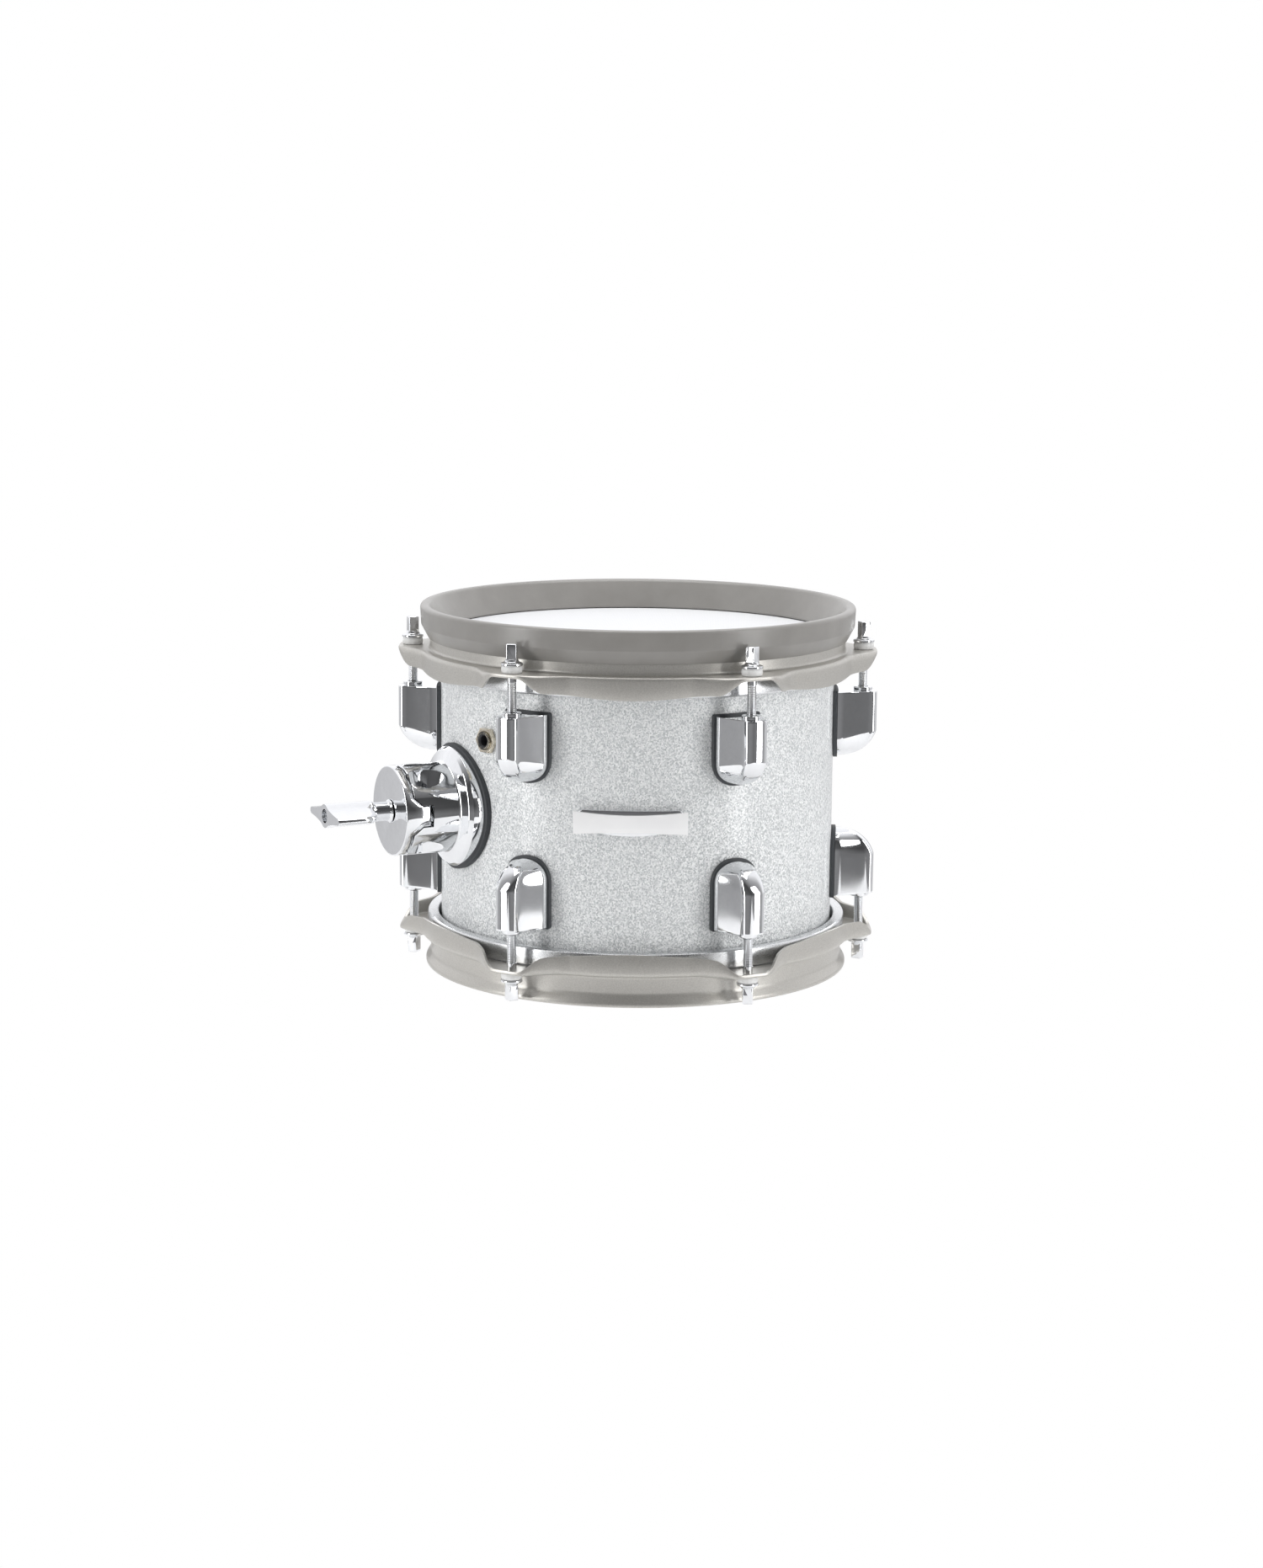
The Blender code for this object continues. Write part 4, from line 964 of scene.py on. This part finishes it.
def rod_mesh():
    """A tension rod: square key, collar and threaded shank."""
    washer = FLANGE_Z + 0.0003
    collar = washer + 0.0042
    neck = collar + 0.0016
    key = neck + 0.0022
    top = key + 0.0096
    corners = [
        (0.0, key + 0.0003),
        (0.0036, key + 0.0003),
        (0.0046, neck + 0.0008),
        (0.0068, neck),
        (0.0068, collar + 0.0001),
        (0.0045, collar + 0.0001),
        (ROD_RADIUS, collar - 0.0006),
        (ROD_RADIUS, washer - 0.0060),
        (0.0, washer - 0.0060),
    ]
    rod = turned("rod_head", corners, [0, 0.0003, 0.0010, 0.0005, 0.0004, 0, 0, 0, 0], 48)
    half = KEY_WIDTH / 2
    square = box("key", (-half, -half, key - 0.001), (half, half, top))
    bevelled(square, 0.0006, 3)
    join(rod, move(square, rotation=(0, 0, radians(25))))
    smooth(rod.data)
    low = LUG_END_Z - 0.018
    end = washer - 0.0040
    shank = thread_mesh("shank", ROD_RADIUS, ROD_THREAD_DEPTH, ROD_PITCH, low, end)
    bm = bmesh.new()
    bm.from_mesh(rod.data)
    bm.from_mesh(shank)
    bm.to_mesh(rod.data)
    bm.free()
    bpy.data.meshes.remove(shank)
    return mesh_alone(rod)


def washer_mesh():
    low = FLANGE_Z + 0.0001
    middle = low + 0.0021
    top = low + 0.0043
    corners = [(0.0062, low), (0.0066, middle), (0.0062, top), (ROD_BORE, top), (ROD_BORE, low)]
    radii = [0.0006, 0.0012, 0.0006, 0.0002, 0.0002]
    return turned_mesh("rod_washer", fillet(corners, radii, closed=True, steps=3), 48, True)


def make_lugs_and_rods():
    """Puts each shape at every lug of both ends; what turns lies on its rod's own axis."""
    chrome = FINISHES["chrome_plate"]
    rubber = FINISHES["black_rubber"]
    shapes = (
        ("lug_casting", "lug", lug_mesh(), "chrome_plate", chrome, False),
        ("lug_seal", "lug_gasket", gasket_mesh(), "black_rubber", rubber, False),
        ("tuning_rod", "tension_rod", rod_mesh(), "chrome_plate", chrome, True),
        ("nylon_washer", None, washer_mesh(), "white_plastic", NYLON, True),
    )
    for name, node, mesh, slot, finish, turns in shapes:
        for end, tip in (("top", 0), ("bottom", pi)):
            for index, azimuth in enumerate(LUG_AZIMUTHS, 1):
                item = new_object(f"{name}_{end}_{index}", mesh)
                item.location = round_drum(ROD_CIRCLE if turns else 0.0, azimuth, MIDDLE_Z)
                item.rotation_euler = (0, tip, radians(azimuth))
                body = f"tension_rod_{end}_{index}" if turns else "drum"
                nodes = [f"{node}_{end}_{index}"] if node else []
                finish_piece(item, body, slot, nodes, finish)


# Rod clamp
def rod_way_cutters():
    """The clamp's two upright rod ways, each with a wider mouth at both ends."""
    cutters = []
    for x in (-ROD_WAY_OFFSET, ROD_WAY_OFFSET):
        bore = cylinder("bore", ROD_WAY_RADIUS, -ROD_WAY_REACH, ROD_WAY_REACH)
        cutters.append(move(bore, (x, 0, ROD_WAY), (pi / 2, 0, 0)))
        for side in (-1, 1):
            mouth = cylinder("mouth", MOUTH_NARROW, 0, 1, top_radius=1.0)
            mouth.data.transform(Matrix.Diagonal((*MOUTH_SIZE, 1.0)))
            move(mouth, (0, 0, MOUTH_START))
            cutters.append(move(mouth, (x, 0, ROD_WAY), (-side * pi / 2, 0, 0)))
    return cutters


def across_rods(name, right):
    """A block with one outline of (height, distance out) points all along the X axis."""
    block = prism(name, mirrored(right), -ROD_WAY_REACH, ROD_WAY_REACH)
    block.data.transform(Matrix(((0, 0, 1, 0), (1, 0, 0, 0), (0, 1, 0, 0), (0, 0, 0, 1))))
    return block


def stud_hole(end):
    return cylinder("stud_hole", STUD_HOLE, 0.14, end, 48)


def make_clamp_seal():
    seal = cylinder("clamp_seal", SEAL_RADIUS, 0.10, 0.14, 128)
    keep_inside(seal, drum_in_frame(LUG_SEAT))
    cut(seal, drum_in_frame(SHELL_RADIUS + SHELL_GAP))
    bevelled(seal, 0.0006, 2)
    finish_piece(in_clamp(seal), "drum", "black_rubber", ["mount_gasket"])


def make_clamp_base():
    """The cone and boss on the shell, cut by the rod ways and the way of the cap's wedge."""
    corners = [
        (0.0, SPLIT_FACE),
        (BOSS_RADIUS, SPLIT_FACE),
        (BOSS_RADIUS, 0.1367),
        (0.0360, 0.1342),
        (0.0380, 0.1318),
        (0.0380, 0.1100),
        (0.0, 0.1100),
    ]
    base = turned("clamp_body", corners, [0, 0.0008, 0.0016, 0.0014, 0.0008, 0, 0], 160, steps=6)
    cut(base, drum_in_frame(MOUNT_SEAT))
    wedge = [(0.0070, 0.1545), (0.0070, WEDGE_FOOT), (0.0070 + 0.0149, 0.1767)]
    cut(base, across_rods("wedge_way", wedge))
    cut(base, *rod_way_cutters())
    cut(base, stud_hole(SPLIT_FACE + 0.01))
    bevelled(base, 0.0006, 3)
    finish_piece(in_clamp(base), "drum", "chrome_plate", ["mount_base"])


def make_clamp_cap():
    """The loose outer half, whose wedge and tongue reach in across both rod ways."""
    corners = [(0.0, CAP_FACE), (BOSS_RADIUS, CAP_FACE), (BOSS_RADIUS, 0.1500), (0.0, 0.1500)]
    cap = turned("clamp_front", corners, [0, 0.0010, 0, 0], 160, steps=5)
    sides = [
        (0.0060, 0.1575),
        (0.0060, WEDGE_FOOT),
        (0.0120, CAP_BACK),
        (0.0400, CAP_BACK),
        (0.0400, 0.1800),
    ]
    keep_inside(cap, across_rods("cap_sides", sides))
    cut(cap, *rod_way_cutters())
    cut(cap, stud_hole(CAP_FACE + 0.01))
    bevelled(cap, 0.0005, 3)
    finish_piece(in_clamp(cap), "clamp_cap", "chrome_plate", ["clamp_cap"])


def make_clamp_stud():
    start = 0.138
    end = NUT_END - 0.005
    depth = STUD_THREAD_DEPTH
    mesh = thread_mesh("threaded_stud", STUD_RADIUS, depth, STUD_PITCH, start, end, 32)
    stud = new_object("threaded_stud", mesh)
    finish_piece(in_clamp(stud), "drum", "zinc_steel", ["clamp_stud"])


def wing_section(reach, height):
    """The wing nut's outline at a height: a round hub that thins to a rounded tip each side."""
    flat = HUB_RADIUS * 0.72
    steps = 10
    points = []
    for step in range(steps):
        x = reach * (step / steps)
        hub = sqrt(max(HUB_RADIUS ** 2 - x ** 2, 0.0)) if x < flat else 0.0
        share = max(1 - max(x - flat, 0.0) / max(reach - flat, 0.001), 0.0)
        wing = WING_TIP + (HUB_RADIUS * 0.70 - WING_TIP) * share ** 1.7
        points.append((x, max(hub, wing)))
    tip_steps = 6
    for step in range(tip_steps + 1):
        turn = radians(90 * (1 - step / tip_steps))
        points.append((reach - WING_TIP + WING_TIP * cos(turn), WING_TIP * sin(turn)))
    right = points + [(x, -y) for x, y in reversed(points[:-1])]
    left = [(-x, -y) for x, y in points[1:]] + [(-x, y) for x, y in reversed(points[1:-1])]
    return [Vector((x, y, height)) for x, y in right + left]


def make_wing_nut():
    """Two lofted wings with a round hub and a neck below them, bored for the stud."""
    rows = [(0.0090, WING_START - 0.0004)]
    for step in range(9):
        turn = radians(90 * step / 8)
        reach = WING_REACH - WING_CURVE + WING_CURVE * sin(turn)
        rows.append((reach, WING_START + WING_RISE * (1 - cos(turn))))
    shoulder = WING_START + WING_RISE
    straight = NUT_END - 0.0005 - WING_START - WING_RISE
    rows += [(WING_REACH, shoulder + straight * step / 4) for step in range(1, 5)]
    rows.append((WING_REACH - 0.0003, NUT_END))
    sections = [wing_section(reach, height) for reach, height in rows]
    nut = new_object("wing_nut_casting", loft_mesh("wing_nut_casting", sections, angle=40))
    corners = [
        (0.0, WING_START + 0.004),
        (0.0073, WING_START + 0.004),
        (0.0073, NUT_SEAT + 0.0122),
        (0.0060, NUT_SEAT + 0.0110),
        (0.0060, NUT_SEAT + 0.0016),
        (0.0078, NUT_SEAT),
        (0.0, NUT_SEAT),
    ]
    join(nut, turned("neck", corners, [0, 0, 0.0010, 0.0006, 0.0012, 0.0004, 0], 64))
    cut(nut, cylinder("bore", 0.0044, NUT_SEAT - 0.01, NUT_END + 0.01, 48))
    smooth(nut.data, 38)
    finish_piece(in_clamp(nut), "wing_nut", "chrome_plate", ["wing_nut"])


# Badge and cable socket
def curved_plate(name, outline, inner, outer):
    """A plate bent round the drum at the front, between two radii."""
    plate = prism(name, outline, inner - 0.012, outer + 0.012)
    move(plate, rotation=(pi / 2, 0, 0))
    keep_inside(plate, drum_cylinder("outer", outer, PLATE_SIDES))
    return cut(plate, drum_cylinder("inner", inner, PLATE_SIDES))


def at_badge(item):
    item.location = (0, 0, MIDDLE_Z + BADGE_RISE)
    return item


def make_badge():
    """A bare plate with bowed-in edges, and the holder that it stands on."""
    shares = [step / 16 - 1 for step in range(33)]
    wide = BADGE_WIDTH / 2
    half = BADGE_HEIGHT / 2
    upper = [(wide * s, half - BADGE_WAIST * (1 - s * s)) for s in shares]
    lower = [(wide * s, -half + BADGE_WAIST * (1 - s * s)) for s in reversed(shares)]
    inner = SHELL_RADIUS + BADGE_BACK
    plate = curved_plate("badge_face", upper + lower, inner, SHELL_RADIUS + BADGE_FACE)
    bevelled(plate, 0.0003, 2)
    finish_piece(at_badge(plate), "drum", "badge_white", ["badge_plate"])
    wide = HOLDER_HALF_WIDTH
    lower = [(wide * s, -0.0078 + 0.0048 * s * s) for s in reversed(shares)]
    upper = mirrored([(-wide, 0.0040), (-wide + 0.0012, 0.0066), (-wide + 0.0040, 0.0080)])
    inner = SHELL_RADIUS + 0.0003
    holder = curved_plate("badge_holder", upper + lower, inner, SHELL_RADIUS + HOLDER_FACE)
    bevelled(holder, 0.0005, 3)
    finish_piece(at_badge(holder), "drum", "chrome_plate", ["badge_base"])


def make_jack():
    """The socket's six-sided ring nut and the bushing that shows inside it."""
    matrix = outward(JACK_AZIMUTH, MIDDLE_Z + JACK_RISE)
    nut = cylinder("socket_nut", 0.0086, 0.123, 0.1301, 6, turn=30)
    cut(nut, drum_in_frame(0.1273, JACK_AZIMUTH))
    cut(nut, cylinder("hole", 0.0060, 0.11, 0.15))
    bevelled(nut, 0.0005, 3)
    nut.matrix_world = matrix
    finish_piece(nut, "drum", "nickel_plate", ["jack_nut"])
    corners = [
        (0.0034, 0.118),
        (0.0057, 0.118),
        (0.0057, 0.1313),
        (0.0044, 0.1313),
        (0.0034, 0.1302),
    ]
    radii = [0, 0, 0.0004, 0.0002, 0.0002]
    bushing = turned("socket_bushing", corners, radii, 64, steps=3, closed=True)
    bushing.matrix_world = matrix
    finish_piece(bushing, "drum", "nickel_plate", [])


def dress_kept_nodes():
    """The socket's body and the inner pieces keep their CAD solids and get detailed finishes."""
    finishes = {
        "jack_socket": "black_plastic",
        "sensor_beam": "zinc_steel",
        "head_sensor": "black_plastic",
        "sensor_cone": "grey_foam",
        "rim_sensor": "black_plastic",
        "sensor_lead": "black_rubber",
        "mount_backing_plate": "zinc_steel",
    }
    for node, finish in finishes.items():
        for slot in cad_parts[node].material_slots:
            slot.material = FINISHES[finish]


# Studio
def make_floor():
    mesh = bpy.data.meshes.new("studio_floor")
    corners = [(-1, -1), (1, -1), (1, 1), (-1, 1)]
    points = [(x * FLOOR_HALF, y * FLOOR_HALF, FLOOR_Z) for x, y in corners]
    mesh.from_pydata(points, [], [(0, 1, 2, 3)])
    mesh.materials.append(Nodes("pale_floor", (0.82, 0.82, 0.82), 0.6).material)
    floor = new_object("studio_floor", mesh)
    floor.visible_camera = False


def area_light(name, location, target, width, height, power):
    """A rectangular light aimed at a target, not seen by the camera itself."""
    data = bpy.data.lights.new(name, "AREA")
    data.shape = "RECTANGLE"
    data.size = width
    data.size_y = height
    data.energy = power
    lamp = bpy.data.objects.new(name, data)
    bpy.context.scene.collection.objects.link(lamp)
    lamp.location = location
    aim = Vector(target) - Vector(location)
    lamp.rotation_euler = aim.to_track_quat("-Z", "Y").to_euler()
    lamp.visible_camera = False
    return lamp


def make_lights():
    middle = (0, 0, MIDDLE_Z)
    for side, name in ((-1, "left_softbox"), (1, "right_softbox")):
        place = (side * 1.66, -0.93, 0.30)
        area_light(name, place, middle, width=0.40, height=1.9, power=16.5)
    area_light("top_softbox", (0.0, 0.15, 1.7), middle, width=1.8, height=1.2, power=20)
    place = (0.1, -2.6, 0.35)
    fill = area_light("low_front_fill", place, (0, 0, 0), width=1.2, height=0.6, power=10)
    fill.visible_glossy = False


def grey_ramp(tree, stops):
    """A colour ramp of greys, slightly blue, from (place, grey) stops."""
    ramp = tree.nodes.new("ShaderNodeValToRGB")
    elements = ramp.color_ramp.elements
    for stop in stops[1:-1]:
        elements.new(stop[0])
    for element, (place, grey) in zip(elements, stops):
        element.position = place
        element.color = (grey, grey, grey * ROOM_BLUE, 1)
    return ramp


def along(tree, split, axis, reach):
    """A direction's part along an axis, from -reach to reach, spread over 0 to 1."""
    span = tree.nodes.new("ShaderNodeMapRange")
    span.inputs["From Min"].default_value = -reach
    span.inputs["From Max"].default_value = reach
    tree.links.new(split.outputs[axis], span.inputs["Value"])
    return span


def make_world():
    """White to the camera, and to all else a room of greys, darkest on the camera's side."""
    world = bpy.data.worlds.new("studio_world")
    bpy.context.scene.world = world
    world.use_nodes = True
    tree = world.node_tree
    back = tree.nodes["Background"]
    path = tree.nodes.new("ShaderNodeLightPath")
    coords = tree.nodes.new("ShaderNodeTexCoord")
    split = tree.nodes.new("ShaderNodeSeparateXYZ")
    tree.links.new(coords.outputs["Generated"], split.inputs[0])
    depth = along(tree, split, "Y", 1.0)
    rise = along(tree, split, "Z", HORIZON_BLEND)
    room = tree.nodes.new("ShaderNodeMix")
    room.data_type = "RGBA"
    tree.links.new(rise.outputs["Result"], room.inputs[MIX_FACTOR])
    for stops, socket in ((LOW_ROOM, MIX_FIRST), (HIGH_ROOM, MIX_SECOND)):
        ramp = grey_ramp(tree, stops)
        tree.links.new(depth.outputs["Result"], ramp.inputs["Fac"])
        tree.links.new(ramp.outputs["Color"], room.inputs[socket])
    seen = tree.nodes.new("ShaderNodeMix")
    seen.data_type = "RGBA"
    tree.links.new(path.outputs["Is Camera Ray"], seen.inputs[MIX_FACTOR])
    tree.links.new(room.outputs[MIX_RESULT], seen.inputs[MIX_FIRST])
    seen.inputs[MIX_SECOND].default_value = (1.0, 1.0, 1.0, 1.0)
    tree.links.new(seen.outputs[MIX_RESULT], back.inputs["Color"])
    back.inputs["Strength"].default_value = 1.0


def make_camera():
    """The photograph's camera, aimed a little beside the shell's middle as the frame asks."""
    data = bpy.data.cameras.new("photo_camera")
    camera = bpy.data.objects.new("photo_camera", data)
    bpy.context.scene.collection.objects.link(camera)
    bpy.context.scene.camera = camera
    azimuth = radians(CAMERA_AZIMUTH)
    elevation = radians(CAMERA_ELEVATION)
    data.sensor_width = SENSOR_WIDTH
    data.lens = CAMERA_FOCAL / FRAME_HEIGHT * SENSOR_WIDTH
    flat = cos(elevation)
    out = Vector((sin(azimuth) * flat, -cos(azimuth) * flat, sin(elevation)))
    camera.location = Vector((0, 0, MIDDLE_Z)) + out * CAMERA_DISTANCE
    look = (-out).to_track_quat("-Z", "Y").to_matrix()
    sideways = Matrix.Rotation(atan(CAMERA_AIM[0] / CAMERA_FOCAL), 3, "Y")
    upwards = Matrix.Rotation(atan(CAMERA_AIM[1] / CAMERA_FOCAL), 3, "X")
    roll = Matrix.Rotation(radians(CAMERA_ROLL), 3, "Z")
    camera.rotation_euler = (look @ sideways @ upwards @ roll).to_euler()
    data.clip_start = 0.05
    data.clip_end = 30.0


make_camera()
make_shell()
make_heads()
make_flesh_hoops()
make_hoops()
make_rim_cover()
make_lugs_and_rods()
make_clamp_seal()
make_clamp_base()
make_clamp_cap()
make_clamp_stud()
make_wing_nut()
make_badge()
make_jack()
dress_kept_nodes()
make_floor()
make_world()
make_lights()
bpy.context.scene.view_settings.view_transform = "Standard"
